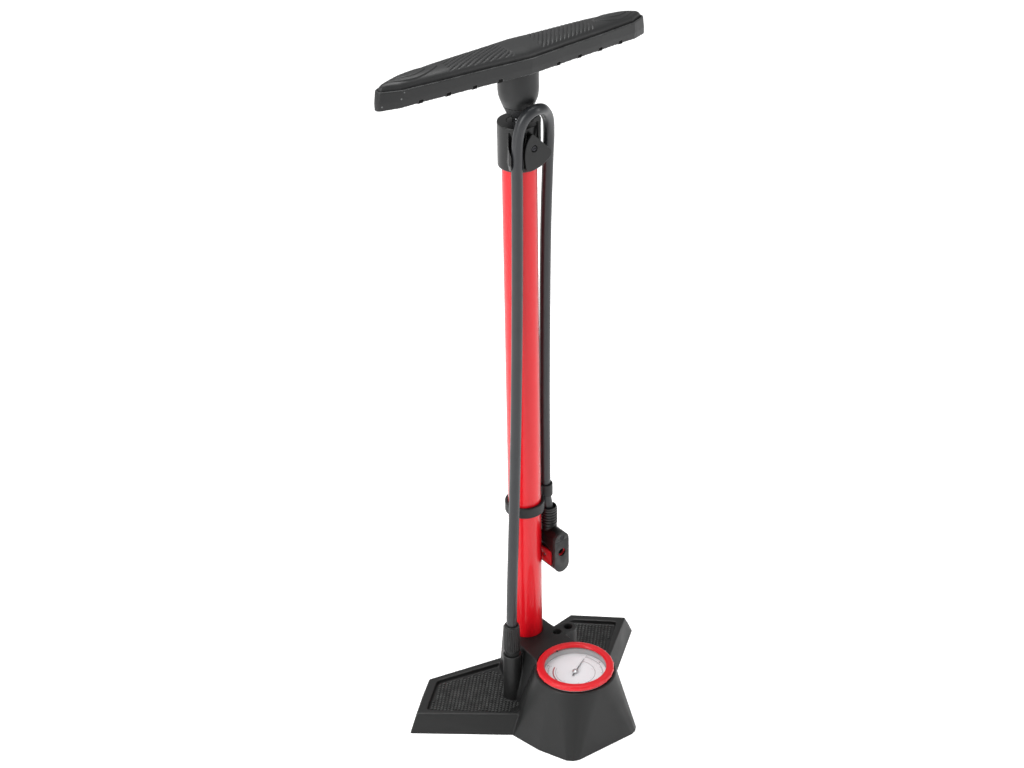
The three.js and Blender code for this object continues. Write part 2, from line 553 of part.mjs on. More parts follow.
// ---------------------------------------------------------------- rod, piston and handle
function pistonHead() {
  const { bottom, top, grooveLow, grooveHigh } = PISTON;
  const r = BARREL.r - BARREL.wall - 0.3;
  const boltSeat = [[2.2, bottom + 2], [4.6, bottom + 2], [4.6, bottom], [r, bottom]];
  const groove = [[r, grooveLow], [11.2, grooveLow], [11.2, grooveHigh], [r, grooveHigh]];
  const rodSeat = [[ROD.r + GAP, top], [ROD.r + GAP, ROD.bottom - SEAT], [2.2, ROD.bottom - SEAT]];
  return turned([...boltSeat, ...groove, [r, top - 1], [r - 1, top], ...rodSeat]);
}
function pistonSeal() {
  const [low, high] = [PISTON.grooveLow + 0.2, PISTON.grooveHigh - 0.2];
  return turned([[11.4, low], [13.9, low], [14.2, low + 1], [14.2, high - 1], [13.9, high], [11.4, high]]);
}
const pistonRod = () => ring(ROD.r, ROD.r - ROD.wall, ROD.bottom, ROD.top, 24);
const rodInsert = (low, high, bore) => ring(ROD.r - ROD.wall - GAP, bore, low, high, 20);

function rodBumper() {
  const { bottom, top } = BUMPER;
  const bore = ROD.r + GAP;
  return turned([[bore, bottom], [8.6, bottom], [10.4, bottom + 1.6], [14.4, top], [bore, top]]);
}

function handleSocket() {
  const low = BUMPER.top + SEAT;
  const high = HANDLE.bottom - SEAT;
  const outside = [[ROD.r + GAP, low], [14.6, low], [17.6, 652], [18.4, 657], [18.4, high]];
  const plug = [[9, high], [9, HANDLE.plugTop], [2.9, HANDLE.plugTop]];
  return turned([...outside, ...plug, [2.9, ROD.top + SEAT], [ROD.r + GAP, ROD.top + SEAT]]);
}

// The handle seen from above, drawn in by an inset.
function handleOutline(inset) {
  const last = HANDLE_HALF_WIDTHS.length - 1;
  const front = HANDLE_HALF_WIDTHS.map(([x, half], i) => {
    const alongInset = i === last ? inset : (inset * i) / (2 * last);
    return [x - alongInset, half - inset * (i === last ? 0.5 : 1)];
  });
  return both([...front, ...front.map(([x, y]) => [x, -y])]);
}

// Bends the handle's ends back and down, leaving its middle straight.
function bent(made) {
  const { from, sweep, droop, lean, deepen } = HANDLE_BEND;
  const reach = HANDLE_HALF_WIDTHS.at(-1)[0] - from;
  return made.refineToLength(16).warp((point) => {
    const t = Math.max(0, Math.abs(point[0]) - from) / reach;
    const depth = Math.max(0, HANDLE.rim - point[2]);
    point[0] += Math.sign(point[0]) * lean * depth * t ** 4;
    point[1] += sweep * t ** 1.5;
    point[2] -= droop * t ** 2 + deepen * depth * t ** 4;
  });
}

function halfWidthAt(distance) {
  const next = HANDLE_HALF_WIDTHS.findIndex(([x]) => x > distance);
  const [[x0, half0], [x1, half1]] = [HANDLE_HALF_WIDTHS[next - 1], HANDLE_HALF_WIDTHS[next]];
  return half0 + ((half1 - half0) * (distance - x0)) / (x1 - x0);
}

// A hollow beam open at the bottom, with a rim round the grip, a spine and cross ribs inside.
function handleBody() {
  const { bottom, plugTop, rim } = HANDLE;
  const outer = hull([handleOutline(0), rim - 2], [handleOutline(0), rim], [handleOutline(1.6), bottom]);
  const hollow = hull([handleOutline(3), rim - 3.4], [handleOutline(4.4), bottom - 1]);
  const tray = hull([handleOutline(2), rim - 1.8], [handleOutline(2), rim + 1]);
  const spine = box(240, 2.2, 7, [0, 0, rim - 6]);
  const hub = rod(12.5, bottom + 0.3, rim - 2, 28);
  const skin = join(cut(outer, hollow), spine, hub);
  const places = FINGER_RIBS.flatMap((x) => [x, -x]);
  const notches = places.map((x) => box(5, 60, 3.6, [x, 0, bottom + 0.9]));
  const ribs = places.map((x) => {
    const high = rim - 2 - bottom;
    return box(4.2, 2 * halfWidthAt(Math.abs(x)) - 4, high, [x, 0, bottom + high / 2]);
  });
  return cut(
    bent(cut(join(cut(skin, ...notches), ...ribs), tray)),
    rod(9 + GAP, bottom - 1, plugTop + SEAT, 28),
    rod(2.9, plugTop - 2, rim, 16),
    rod(6.4, plugTop + 2, rim, 20),
  );
}

function handleGrip() {
  const { rim, crown } = HANDLE;
  const pad = hull(
    [handleOutline(2.9), rim - 1.8 + SEAT],
    [handleOutline(2.9), rim + 2.4],
    [handleOutline(3.8), crown - 3],
    [handleOutline(6.5), crown - 0.8],
    [handleOutline(6.5).map(([x, y]) => [x * 0.97, y * 0.5]), crown],
  );
  return bent(pad);
}

// ---------------------------------------------------------------- assembly
const gaugeAt = (...meshes) => {
  const made = group(...meshes);
  made.position.set(0, GAUGE.y, 0);
  return made;
};

function standingParts() {
  const { blackPlastic, redPaint, redPlastic, rubber, steel, brass, greyPlastic, dialWhite, glass } = FINISH;
  const padNames = ["foot_pad_right", "foot_pad_left", "foot_pad_nose_right", "foot_pad_nose_left"];
  const screws = BLOCK_SCREWS.map(([x, y], i) => {
    const mesh = piece(`block_screw_${i + 1}`, screw(3.2, 2, 1.55, 9.4), steel);
    mesh.rotation.x = Math.PI;
    mesh.position.set(x, y, 7.7);
    return mesh;
  });
  const hookScrew = piece("hook_screw", screw(2.9, 1.6, 1.5, 6), steel);
  hookScrew.rotation.x = Math.PI / 2;
  hookScrew.position.set(HOOK.screwX, HOOK.frontY + 1.8, HOOK.screwZ);
  const mouthScrew = piece("mouth_screw", screw(2.2, 0.8, 1.2, 6), steel);
  mouthScrew.rotation.x = Math.PI / 2;
  mouthScrew.position.set(HEAD.x, HEAD.faceY + 0.8, HEAD.screwZ);
  return [
    piece("base_shell", baseShell(), blackPlastic),
    ...padNames.map((name, i) => piece(name, padShape(PAD_PLACES[i], 0, 0, 2.9), rubber)),
    piece("valve_block", valveBlock(), blackPlastic),
    piece("centre_foot", centreFoot(), rubber),
    piece("block_oring", ring(14.3, 13.25, 26.3, 29.1, 30), rubber),
    piece("check_spring", checkSpring(), steel),
    ...screws,
    piece("barrel", ring(BARREL.r, BARREL.r - BARREL.wall, BARREL.foot, BARREL.top, 48), redPaint),
    piece("top_collar", topCollar(), blackPlastic),
    piece("rod_bushing", ring(9.05, ROD.r + GAP, COLLAR.lid + 0.3, COLLAR.top - 3.5, 28), greyPlastic),
    piece("rod_wiper", ring(11, ROD.r + 0.1, COLLAR.top - 2.9, COLLAR.top - 0.3, 28), rubber),
    piece("hose_hook", hoseHook(), blackPlastic),
    hookScrew,
    piece("clip_band", clipBand(), rubber),
    piece("hose_fitting", hoseFitting(), brass),
    piece("hose_nut", hoseNut(), blackPlastic),
    piece("hose", hose(), rubber),
    piece("head_ferrule", headFerrule(), blackPlastic),
    piece("head_body", headBody(), blackPlastic),
    piece("head_mouth", headMouth(), blackPlastic),
    mouthScrew,
    piece("valve_gasket", bushAlongY(5.2, 3.6, HEAD.faceY + 4.2, HEAD.faceY + 11.6), rubber),
    piece("valve_bush", bushAlongY(5.2, 3.9, HEAD.faceY + 2.1, HEAD.faceY + 3.9), redPlastic),
    piece("lever_pin", leverPin(), steel),
    gaugeAt(
      piece("gauge_cup", gaugeCup(), greyPlastic),
      piece("gauge_stem", gaugeStem(), brass),
      piece("bourdon_tube", bourdonTube(), brass),
      piece("movement_plate", movementPlate(), brass),
      piece("gauge_dial", dial(), dialWhite),
      piece("gauge_lens", lens(), glass),
    ),
  ];
}

function movingParts() {
  const { chrome, blackPlastic, gripPlastic, redPlastic, rubber, steel, brass } = FINISH;
  const pistonBolt = piece("piston_bolt", screw(4.2, 2, 2, 20), steel);
  pistonBolt.rotation.x = Math.PI;
  pistonBolt.position.set(0, 0, PISTON.bottom + 1.9);
  const rodAndHandle = group(
    piece("piston_rod", pistonRod(), chrome),
    piece("rod_insert_low", rodInsert(ROD.bottom + 1, 60, 2.2), steel),
    piece("piston_head", pistonHead(), blackPlastic),
    pistonBolt,
    piece("rod_bumper", rodBumper(), rubber),
    piece("handle_socket", handleSocket(), blackPlastic),
    piece("rod_insert_top", rodInsert(648, ROD.top - 1, 2.6), steel),
    piece("handle_body", handleBody(), blackPlastic),
    piece("handle_grip", handleGrip(), gripPlastic),
    piece("handle_washer", ring(6, 2.7, HANDLE.plugTop + 2.2, HANDLE.plugTop + 3, 20), steel),
    piece("handle_bolt", screw(5, 3.4, 2.4, 30).translate([0, 0, HANDLE.plugTop + 3.3]), steel),
  );
  rodAndHandle.rotation.z = THREE.MathUtils.degToRad(HANDLE.turn);
  const sector = piece("sector_gear", sectorGear(), brass);
  sector.position.set(...MOVEMENT.sectorPivot, MOVEMENT.gearZ);
  sector.rotation.z = Math.atan2(-MOVEMENT.sectorPivot[1], -MOVEMENT.sectorPivot[0]) - 0.3;
  const pointer = piece("gauge_needle", needle(), steel);
  pointer.rotation.z = Math.PI / 6;
  const needlePinion = piece("needle_pinion", pinion(), brass);
  return [
    rodAndHandle,
    piece("piston_seal", pistonSeal(), rubber),
    piece("check_ball", checkBall(), rubber),
    piece("head_lever", headLever(), redPlastic),
    gaugeAt(sector, needlePinion, pointer, piece("gauge_bezel", bezel(), redPlastic)),
  ];
}

const pump = group(...standingParts(), ...movingParts());
export default pump;
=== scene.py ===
import math

import bmesh
import bpy
import numpy as np
from mathutils import Matrix, Vector


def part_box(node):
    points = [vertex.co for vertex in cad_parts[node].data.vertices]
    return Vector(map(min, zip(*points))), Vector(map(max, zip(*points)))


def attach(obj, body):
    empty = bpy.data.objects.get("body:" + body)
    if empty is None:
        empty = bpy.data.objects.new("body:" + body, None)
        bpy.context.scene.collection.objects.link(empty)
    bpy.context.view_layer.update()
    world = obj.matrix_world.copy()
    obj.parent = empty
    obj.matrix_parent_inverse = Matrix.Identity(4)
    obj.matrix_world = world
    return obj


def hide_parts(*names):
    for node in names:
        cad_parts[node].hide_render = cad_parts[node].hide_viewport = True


# Looks for the floor pump. Lengths are in millimetres until a mesh is made, and z is up.
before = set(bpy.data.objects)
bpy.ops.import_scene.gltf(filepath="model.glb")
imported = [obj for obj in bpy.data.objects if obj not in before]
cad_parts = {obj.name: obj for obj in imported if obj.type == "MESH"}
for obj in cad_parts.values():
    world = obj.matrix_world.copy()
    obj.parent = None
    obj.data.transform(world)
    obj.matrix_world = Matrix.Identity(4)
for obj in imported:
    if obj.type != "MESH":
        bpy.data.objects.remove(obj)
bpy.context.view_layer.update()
MM = 0.001


def place(node):
    """A CAD node's lowest and highest corner, in millimetres."""
    low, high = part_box(node)
    return Vector(low) / MM, Vector(high) / MM


def middle(node):
    low, high = place(node)
    return (low + high) / 2


# ---------------------------------------------------------------- meshes
def add(name, data):
    piece = bpy.data.objects.new(name, data)
    bpy.context.scene.collection.objects.link(piece)
    return piece


def shade(piece, crease):
    """Smooth shading, broken at edges that turn by more than the crease angle."""
    piece.data.shade_smooth()
    piece.data.set_sharp_from_angle(angle=math.radians(crease))


def make(name, vertices, faces, crease=35):
    mesh = bpy.data.meshes.new(name)
    mesh.from_pydata([Vector(v) * MM for v in vertices], [], faces)
    piece = add(name, mesh)
    tidy_mesh(piece, crease)
    return piece


def tidy_mesh(piece, crease=35):
    edit = bmesh.new()
    edit.from_mesh(piece.data)
    bmesh.ops.remove_doubles(edit, verts=edit.verts, dist=1e-7)
    bmesh.ops.recalc_face_normals(edit, faces=edit.faces)
    edit.to_mesh(piece.data)
    edit.free()
    shade(piece, crease)


def bake(piece, crease=35):
    """Applies the piece's modifiers."""
    depsgraph = bpy.context.evaluated_depsgraph_get()
    mesh = bpy.data.meshes.new_from_object(piece.evaluated_get(depsgraph))
    piece.modifiers.clear()
    piece.data = mesh
    shade(piece, crease)
    return piece


def combine(piece, *tools, how="UNION"):
    """Joins the tools to the piece, or cuts them out of it. The tools are used up."""
    for tool in tools:
        step = piece.modifiers.new(how, "BOOLEAN")
        step.operation = how
        step.solver = "MANIFOLD"
        step.object = tool
        bake(piece)
        bpy.data.objects.remove(tool)
    return piece


def cut(piece, *tools):
    return combine(piece, *tools, how="DIFFERENCE")


def melt(piece, voxel, rounds, crease=180):
    """Rounds every edge a little, as a moulding's edges are."""
    remesh = piece.modifiers.new("remesh", "REMESH")
    remesh.mode = "VOXEL"
    remesh.voxel_size = voxel * MM
    smooth = piece.modifiers.new("smooth", "SMOOTH")
    smooth.iterations = rounds
    smooth.factor = 0.5
    return bake(piece, crease)


def bevel(piece, width):
    step = piece.modifiers.new("bevel", "BEVEL")
    step.width = width * MM
    step.segments = 3
    step.limit_method = "ANGLE"
    step.angle_limit = math.radians(30)
    step.harden_normals = False
    return bake(piece, 40)


def hull(name, points):
    edit = bmesh.new()
    for point in points:
        edit.verts.new(Vector(point) * MM)
    made = bmesh.ops.convex_hull(edit, input=edit.verts)
    left_over = made["geom_interior"] + made["geom_unused"]
    loose = list({part for part in left_over if isinstance(part, bmesh.types.BMVert)})
    bmesh.ops.delete(edit, geom=loose, context="VERTS")
    mesh = bpy.data.meshes.new(name)
    edit.to_mesh(mesh)
    edit.free()
    piece = add(name, mesh)
    tidy_mesh(piece)
    return piece


def circle(x, y, r, z, count=64):
    turn = [2 * math.pi * i / count for i in range(count)]
    return [(x + r * math.cos(a), y + r * math.sin(a), z) for a in turn]


def at_height(outline, z):
    return [(x, y, z) for x, y in outline]


def lathe(name, profile, steps=96, centre=(0, 0), ripple=None, crease=35):
    """Turns a closed outline of [r, z] corners about a vertical axis. ripple(angle, r, z) changes r."""
    vertices = []
    for i in range(steps):
        angle = 2 * math.pi * i / steps
        for r, z in profile:
            reach = ripple(angle, r, z) if ripple else r
            vertices.append((centre[0] + reach * math.cos(angle), centre[1] + reach * math.sin(angle), z))
    count = len(profile)
    faces = []
    for i in range(steps):
        here, after = i * count, ((i + 1) % steps) * count
        for j in range(count):
            k = (j + 1) % count
            faces.append((here + j, after + j, after + k, here + k))
    return make(name, vertices, faces, crease)


def rounded(corners, radii, arc=5):
    """A closed outline with its corners rounded. A radius is given for each corner, or one for all."""
    if not isinstance(radii, (list, tuple)):
        radii = [radii] * len(corners)
    out = []
    for i, corner in enumerate(corners):
        here = Vector(corner)
        to_before = Vector(corners[i - 1]) - here
        to_after = Vector(corners[(i + 1) % len(corners)]) - here
        reach = min(radii[i], to_before.length * 0.45, to_after.length * 0.45)
        if reach <= 0:
            out.append(tuple(here))
            continue
        start = here + to_before.normalized() * reach
        end = here + to_after.normalized() * reach
        for k in range(arc + 1):
            t = k / arc
            out.append(tuple(start * (1 - t) ** 2 + here * 2 * t * (1 - t) + end * t * t))
    return out


def softened(corners, low=0, arc=5):
    """An outline from [r, z, rounding] corners, with z counted from low."""
    outline = [(r, low + z) for r, z, _ in corners]
    return rounded(outline, [rounding for _, _, rounding in corners], arc)


def prism(name, outline, low, high, axis="Z"):
    """An outline drawn out along an axis. For Y the outline is [x, z], for X it is [y, z]."""
    to_space = {
        "Z": lambda a, b, h: (a, b, h),
        "Y": lambda a, b, h: (a, h, b),
        "X": lambda a, b, h: (h, a, b),
    }[axis]
    count = len(outline)
    vertices = [to_space(a, b, low) for a, b in outline] + [to_space(a, b, high) for a, b in outline]
    sides = [(i, (i + 1) % count, count + (i + 1) % count, count + i) for i in range(count)]
    return make(name, vertices, [tuple(range(count))[::-1], tuple(range(count, 2 * count)), *sides])


def block(name, size, centre, turn=0):
    half = Vector(size) / 2
    signs = [(x, y, z) for z in (-1, 1) for y in (-1, 1) for x in (-1, 1)]
    spin = Matrix.Rotation(math.radians(turn), 3, "Z")
    corners = [spin @ Vector((s[0] * half.x, s[1] * half.y, s[2] * half.z)) + Vector(centre) for s in signs]
    return hull(name, corners)


def cylinder(name, r, low, high, centre=(0, 0), axis="Z", count=64):
    ring = [(a, b) for a, b, _ in circle(*centre, r, 0, count)]
    return prism(name, ring, low, high, axis)


def smooth_path(points, per_span):
    """Points along a centripetal Catmull-Rom curve."""
    path = [Vector(p) for p in points]
    path = [path[0] * 2 - path[1], *path, path[-1] * 2 - path[-2]]
    out = []
    for p0, p1, p2, p3 in zip(path, path[1:], path[2:], path[3:]):
        t0 = 0
        t1 = t0 + (p1 - p0).length ** 0.5
        t2 = t1 + (p2 - p1).length ** 0.5
        t3 = t2 + (p3 - p2).length ** 0.5
        for i in range(per_span):
            t = t1 + (t2 - t1) * i / per_span
            a1 = p0 * ((t1 - t) / (t1 - t0)) + p1 * ((t - t0) / (t1 - t0))
            a2 = p1 * ((t2 - t) / (t2 - t1)) + p2 * ((t - t1) / (t2 - t1))
            a3 = p2 * ((t3 - t) / (t3 - t2)) + p3 * ((t - t2) / (t3 - t2))
            b1 = a1 * ((t2 - t) / (t2 - t0)) + a2 * ((t - t0) / (t2 - t0))
            b2 = a2 * ((t3 - t) / (t3 - t1)) + a3 * ((t - t1) / (t3 - t1))
            out.append(b1 * ((t2 - t) / (t2 - t1)) + b2 * ((t - t1) / (t2 - t1)))
    out.append(Vector(points[-1]))
    return out


def sweep(name, path, r, sides=24):
    """A round bar along a list of points."""
    side = Vector((1, 0, 0))
    vertices, faces = [], []
    for i, here in enumerate(path):
        ahead = (path[min(i + 1, len(path) - 1)] - path[max(i - 1, 0)]).normalized()
        side = (side - ahead * side.dot(ahead)).normalized()
        other = ahead.cross(side)
        for k in range(sides):
            a = 2 * math.pi * k / sides
            vertices.append(here + (side * math.cos(a) + other * math.sin(a)) * r)
    for i in range(len(path) - 1):
        for k in range(sides):
            n = (k + 1) % sides
            faces.append((i * sides + k, i * sides + n, (i + 1) * sides + n, (i + 1) * sides + k))
    faces.append(tuple(range(sides))[::-1])
    faces.append(tuple((len(path) - 1) * sides + k for k in range(sides)))
    return make(name, vertices, faces, 60)


# ---------------------------------------------------------------- finishes
def new_material(name):
    material = bpy.data.materials.new(name)
    material.use_nodes = True
    tree = material.node_tree
    return material, tree, tree.nodes["Principled BSDF"]


def noise(tree, scale, detail=3.0, stretch=(1, 1, 1)):
    coords = tree.nodes.new("ShaderNodeTexCoord")
    mapping = tree.nodes.new("ShaderNodeMapping")
    mapping.inputs["Scale"].default_value = stretch
    texture = tree.nodes.new("ShaderNodeTexNoise")
    texture.inputs["Scale"].default_value = scale
    texture.inputs["Detail"].default_value = detail
    tree.links.new(coords.outputs["Object"], mapping.inputs["Vector"])
    tree.links.new(mapping.outputs["Vector"], texture.inputs["Vector"])
    return texture.outputs["Fac"]


def spread(tree, value, low, high, start=0.3, end=0.7):
    """Maps a 0 to 1 texture value to a range."""
    ramp = tree.nodes.new("ShaderNodeMapRange")
    ramp.inputs["From Min"].default_value = start
    ramp.inputs["From Max"].default_value = end
    ramp.inputs["To Min"].default_value = low
    ramp.inputs["To Max"].default_value = high
    tree.links.new(value, ramp.inputs["Value"])
    return ramp.outputs["Result"]


def blend_colours(tree, factor, first, second):
    mix = tree.nodes.new("ShaderNodeMix")
    mix.data_type = "RGBA"
    mix.inputs["A"].default_value = (*first, 1)
    mix.inputs["B"].default_value = (*second, 1)
    tree.links.new(factor, mix.inputs["Factor"])
    return mix.outputs["Result"]


def bump(tree, shader, value, strength, distance):
    node = tree.nodes.new("ShaderNodeBump")
    node.inputs["Strength"].default_value = strength
    node.inputs["Distance"].default_value = distance * MM
    tree.links.new(value, node.inputs["Height"])
    tree.links.new(node.outputs["Normal"], shader.inputs["Normal"])


def edge_wear_and_highlight(tree):
    """Mask for edge wear and a painted edge highlight: 1 on edges that stand out, 0 elsewhere, broken up by
    noise. A flat face's pointiness is 0.5.
    """
    geometry = tree.nodes.new("ShaderNodeNewGeometry")
    edges = spread(tree, geometry.outputs["Pointiness"], 0, 1, 0.512, 0.58)
    patches = spread(tree, noise(tree, 120), 0.1, 1)
    product = tree.nodes.new("ShaderNodeMath")
    product.operation = "MULTIPLY"
    tree.links.new(edges, product.inputs[0])
    tree.links.new(patches, product.inputs[1])
    return product.outputs["Value"]


def moulded(name, colour, rubbed_and_highlight_colour, roughness, grain=900, depth=0.05, specular=0.5):
    """Moulded plastic or rubber: a fine grain, uneven gloss, and edges lighter, partly from rubbed wear and
    partly as a painted highlight.
    """
    material, tree, shader = new_material(name)
    # Lighter edges: rubbed wear together with a painted edge highlight.
    tree.links.new(blend_colours(tree, edge_wear_and_highlight(tree), colour, rubbed_and_highlight_colour), shader.inputs["Base Color"])
    gloss = spread(tree, noise(tree, 45), roughness - 0.05, roughness + 0.06)
    tree.links.new(gloss, shader.inputs["Roughness"])
    bump(tree, shader, noise(tree, grain, 2.0), 0.35, depth)
    shader.inputs["Specular IOR Level"].default_value = specular
    return material


def gloss_paint(name, colour, dark_reflection):
    """Lacquered paint under a clear coat with a faint orange peel, its colour darkened towards the
    turned-away edges by a painted dark reflection.
    """
    material, tree, shader = new_material(name)
    # The darker colour towards the turned-away edges is a painted reflection of a dark surround.
    turned_away = tree.nodes.new("ShaderNodeLayerWeight")
    tree.links.new(spread(tree, noise(tree, 30), 0.46, 0.54), turned_away.inputs["Blend"])
    factor = spread(tree, turned_away.outputs["Facing"], 0, 1, 0.5, 0.85)
    tree.links.new(blend_colours(tree, factor, colour, dark_reflection), shader.inputs["Base Color"])
    shader.inputs["Metallic"].default_value = 0.0
    shader.inputs["Coat Weight"].default_value = 0.3
    shader.inputs["Specular IOR Level"].default_value = 0.3
    tree.links.new(spread(tree, noise(tree, 80), 0.03, 0.07), shader.inputs["Coat Roughness"])
    tree.links.new(spread(tree, noise(tree, 200), 0.28, 0.36), shader.inputs["Roughness"])
    bump(tree, shader, noise(tree, 260, 1.0), 0.03, 0.05)
    return material


def metal(name, colour, roughness):
    """Turned metal with a fine, uneven grain."""
    material, tree, shader = new_material(name)
    darker = tuple(c * 0.8 for c in colour)
    patches = spread(tree, noise(tree, 60), 0, 1)
    tree.links.new(blend_colours(tree, patches, colour, darker), shader.inputs["Base Color"])
    shader.inputs["Metallic"].default_value = 1.0
    grain = noise(tree, 400, 2.0)
    tree.links.new(spread(tree, grain, roughness * 0.7, roughness * 1.4), shader.inputs["Roughness"])
    bump(tree, shader, grain, 0.15, 0.02)
    return material


def polished(name, colour, edge):
    """Polished plate, which mirrors a dark surround along its turned-away edges, with faint drawn lines."""
    material, tree, shader = new_material(name)
    turned_away = tree.nodes.new("ShaderNodeLayerWeight")
    turned_away.inputs["Blend"].default_value = 0.5
    factor = spread(tree, turned_away.outputs["Facing"], 0, 1, 0.2, 0.75)
    tree.links.new(blend_colours(tree, factor, colour, edge), shader.inputs["Base Color"])
    shader.inputs["Metallic"].default_value = 1.0
    lines = noise(tree, 60, 2.0, (1, 1, 40))
    tree.links.new(spread(tree, lines, 0.07, 0.13), shader.inputs["Roughness"])
    bump(tree, shader, lines, 0.1, 0.01)
    return material


def clear(name):
    """A clear window that lets the light through to the dial and keeps a faint, uneven gloss."""
    material, tree, shader = new_material(name)
    shader.inputs["Base Color"].default_value = (1, 1, 1, 1)
    shader.inputs["Alpha"].default_value = 0.07
    tree.links.new(spread(tree, noise(tree, 60), 0.02, 0.06), shader.inputs["Roughness"])
    bump(tree, shader, noise(tree, 300, 1.0), 0.02, 0.01)
    return material


def card(name, colour):
    """Printed card or ink: nearly even, with a faint fibre."""
    material, tree, shader = new_material(name)
    dimmer = tuple(c * 0.95 for c in colour)
    fibre = spread(tree, noise(tree, 500), 0, 1)
    tree.links.new(blend_colours(tree, fibre, colour, dimmer), shader.inputs["Base Color"])
    shader.inputs["Roughness"].default_value = 0.45
    bump(tree, shader, noise(tree, 900), 0.05, 0.02)
    return material


LOOK = {
    "black_plastic": moulded("black_moulded", (0.011, 0.0113, 0.0113), (0.05, 0.051, 0.05),
        0.46, specular=0.34),
    "head_plastic": moulded("head_moulded", (0.006, 0.0063, 0.0065), (0.04, 0.04, 0.04), 0.38, specular=0.34),
    "collar_plastic": moulded("collar_moulded", (0.008, 0.0082, 0.0082), (0.08, 0.08, 0.078),
        0.34, specular=0.36),
    # The handle's light edge colour is raised to paint a highlight along its rim's edge.
    "handle_plastic": moulded("handle_moulded", (0.013, 0.0134, 0.0138), (0.17, 0.174, 0.174),
        0.4, specular=0.36),
    "grip_plastic": moulded("grip_moulded", (0.017, 0.0174, 0.0178), (0.09, 0.092, 0.093),
        0.46, specular=0.4),
    # Near-black: painted shade for the dark inside of the handle's notches.
    "notch_shade_black": moulded("notch_shade_moulded", (0.002, 0.002, 0.002), (0.01, 0.01, 0.01), 0.7, specular=0.1),
    "tread_plastic": moulded("tread_moulded", (0.024, 0.0245, 0.0245), (0.09, 0.092, 0.09), 0.36),
    "hose_rubber": moulded("hose_rubber", (0.017, 0.0185, 0.021), (0.02, 0.021, 0.023), 0.36, 500, 0.02),
    "rubber": moulded("soft_rubber", (0.014, 0.0145, 0.0155), (0.04, 0.04, 0.04), 0.55, specular=0.35),
    # The second, deeper red is a painted dark reflection along the barrel's turned-away edges.
    "red_paint": gloss_paint("red_lacquer", (0.74, 0.004, 0.012), (0.42, 0.001, 0.005)),
    "red_plastic": moulded("red_moulded", (0.68, 0.01, 0.018), (0.8, 0.07, 0.08), 0.34, specular=0.4),
    "chrome": polished("chrome_plate", (0.5, 0.51, 0.53), (0.07, 0.072, 0.078)),
    "steel": metal("turned_steel", (0.5, 0.51, 0.53), 0.3),
    "dark_steel": metal("blackened_steel", (0.045, 0.045, 0.05), 0.4),
    "brass": metal("turned_brass", (0.75, 0.55, 0.25), 0.28),
    "grey_plastic": moulded("grey_moulded", (0.30, 0.315, 0.32), (0.42, 0.43, 0.43), 0.45),
    "dial_white": card("dial_card", (0.86, 0.87, 0.9)),
    "ink": card("dial_ink", (0.03, 0.03, 0.04)),
    "red_ink": card("dial_red_ink", (0.4, 0.03, 0.05)),
    "glass": clear("clear_lens"),
}


def paint(piece, look):
    piece.data.materials.clear()
    piece.data.materials.append(LOOK[look])


def dress(piece, look, body="pump_body", stands_for=()):
    paint(piece, look)
    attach(piece, body)
    if stands_for:
        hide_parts(*stands_for)
    return piece


# ---------------------------------------------------------------- base
WING_TOP = [(0, 27.5), (16, 27.5), (89.8, 44.4), (131.8, 6.4), (52.8, -55.7), (0, -55.7)]
WING_FOOT = [(0, 33), (18, 33), (94.5, 54), (143.6, 7), (64, -60.6), (0, -60.6)]
NOSE_FOOT = [(64, -60.6), (57.5, -94.5), (45.5, -124.5), (41, -129), (35.5, -131), (12, -131), (50, -40)]
PANEL = [(10, 22), (86, 37.4), (120.4, 6), (55.5, -50), (20, -50)]
BASE_LOW, WING_HIGH, DECK, NOSE_TOP = 0.1, 20, 70, 66
FOOT_LOW = -2  # the foot is drawn on below the ground, so that its lower rim stays crisp when it is cut off
GROW = 1.7  # how far the foot is drawn out, for what its rounded edges take off
ROOM_BELOW = 5  # how far a room inside the foot is drawn on below it
WALL = 3
PANEL_FLOOR = WING_HIGH - 4
GAUGE_Y = middle("gauge_lens").y
GAUGE_R = 37.6
CUP_R = 33.6
BOSS = middle("hose_nut")
BOSS_SPOT = (BOSS.x, BOSS.y)
BARREL_ROOM_R = 16.15
SHELF_X, SHELF_Y = 34, -24
NEEDLE_HOLES_X = (20, SHELF_X)
OPEN_TOP = 80  # above the deck, where the rooms come out
ON_AXIS = 0.001  # a turned profile's corners on its axis stand this far off it


def mirrored(outline, side):
    return [(side * x, y) for x, y in outline]


def shrunk(outline, by):
    return [(x - math.copysign(by, x) if x else 0, y - math.copysign(by, y)) for x, y in outline]


def both_sides(outline):
    return [*outline, *mirrored(outline, -1)]


def foot_outline(outline, shrink):
    """A foot drawn in for the room inside it, or drawn out for the moulding itself."""
    return shrunk(outline, shrink or -GROW)


def foot_low(shrink):
    return FOOT_LOW - (ROOM_BELOW if shrink else 0)


def wing(side):
    top = at_height(mirrored(WING_TOP, side), WING_HIGH)
    foot = at_height(mirrored(foot_outline(WING_FOOT, 0), side), FOOT_LOW)
    return hull("wing", top + foot)


def nose(shrink):
    top = circle(0, GAUGE_Y, GAUGE_R + 2.2 - shrink, NOSE_TOP - shrink, 128)
    foot = at_height(both_sides(foot_outline(NOSE_FOOT, shrink)), foot_low(shrink))
    return hull("nose", top + foot)


def hub(shrink):
    top = [(22 - shrink, 4), (16 - shrink, 18 - shrink), (25 - shrink, -52)]
    foot = [(26 - shrink, 6), (19 - shrink, 24 - shrink), (45 - shrink, -52)]
    top = at_height(both_sides(top), DECK - shrink)
    return hull("hub", top + at_height(both_sides(foot), foot_low(shrink)))


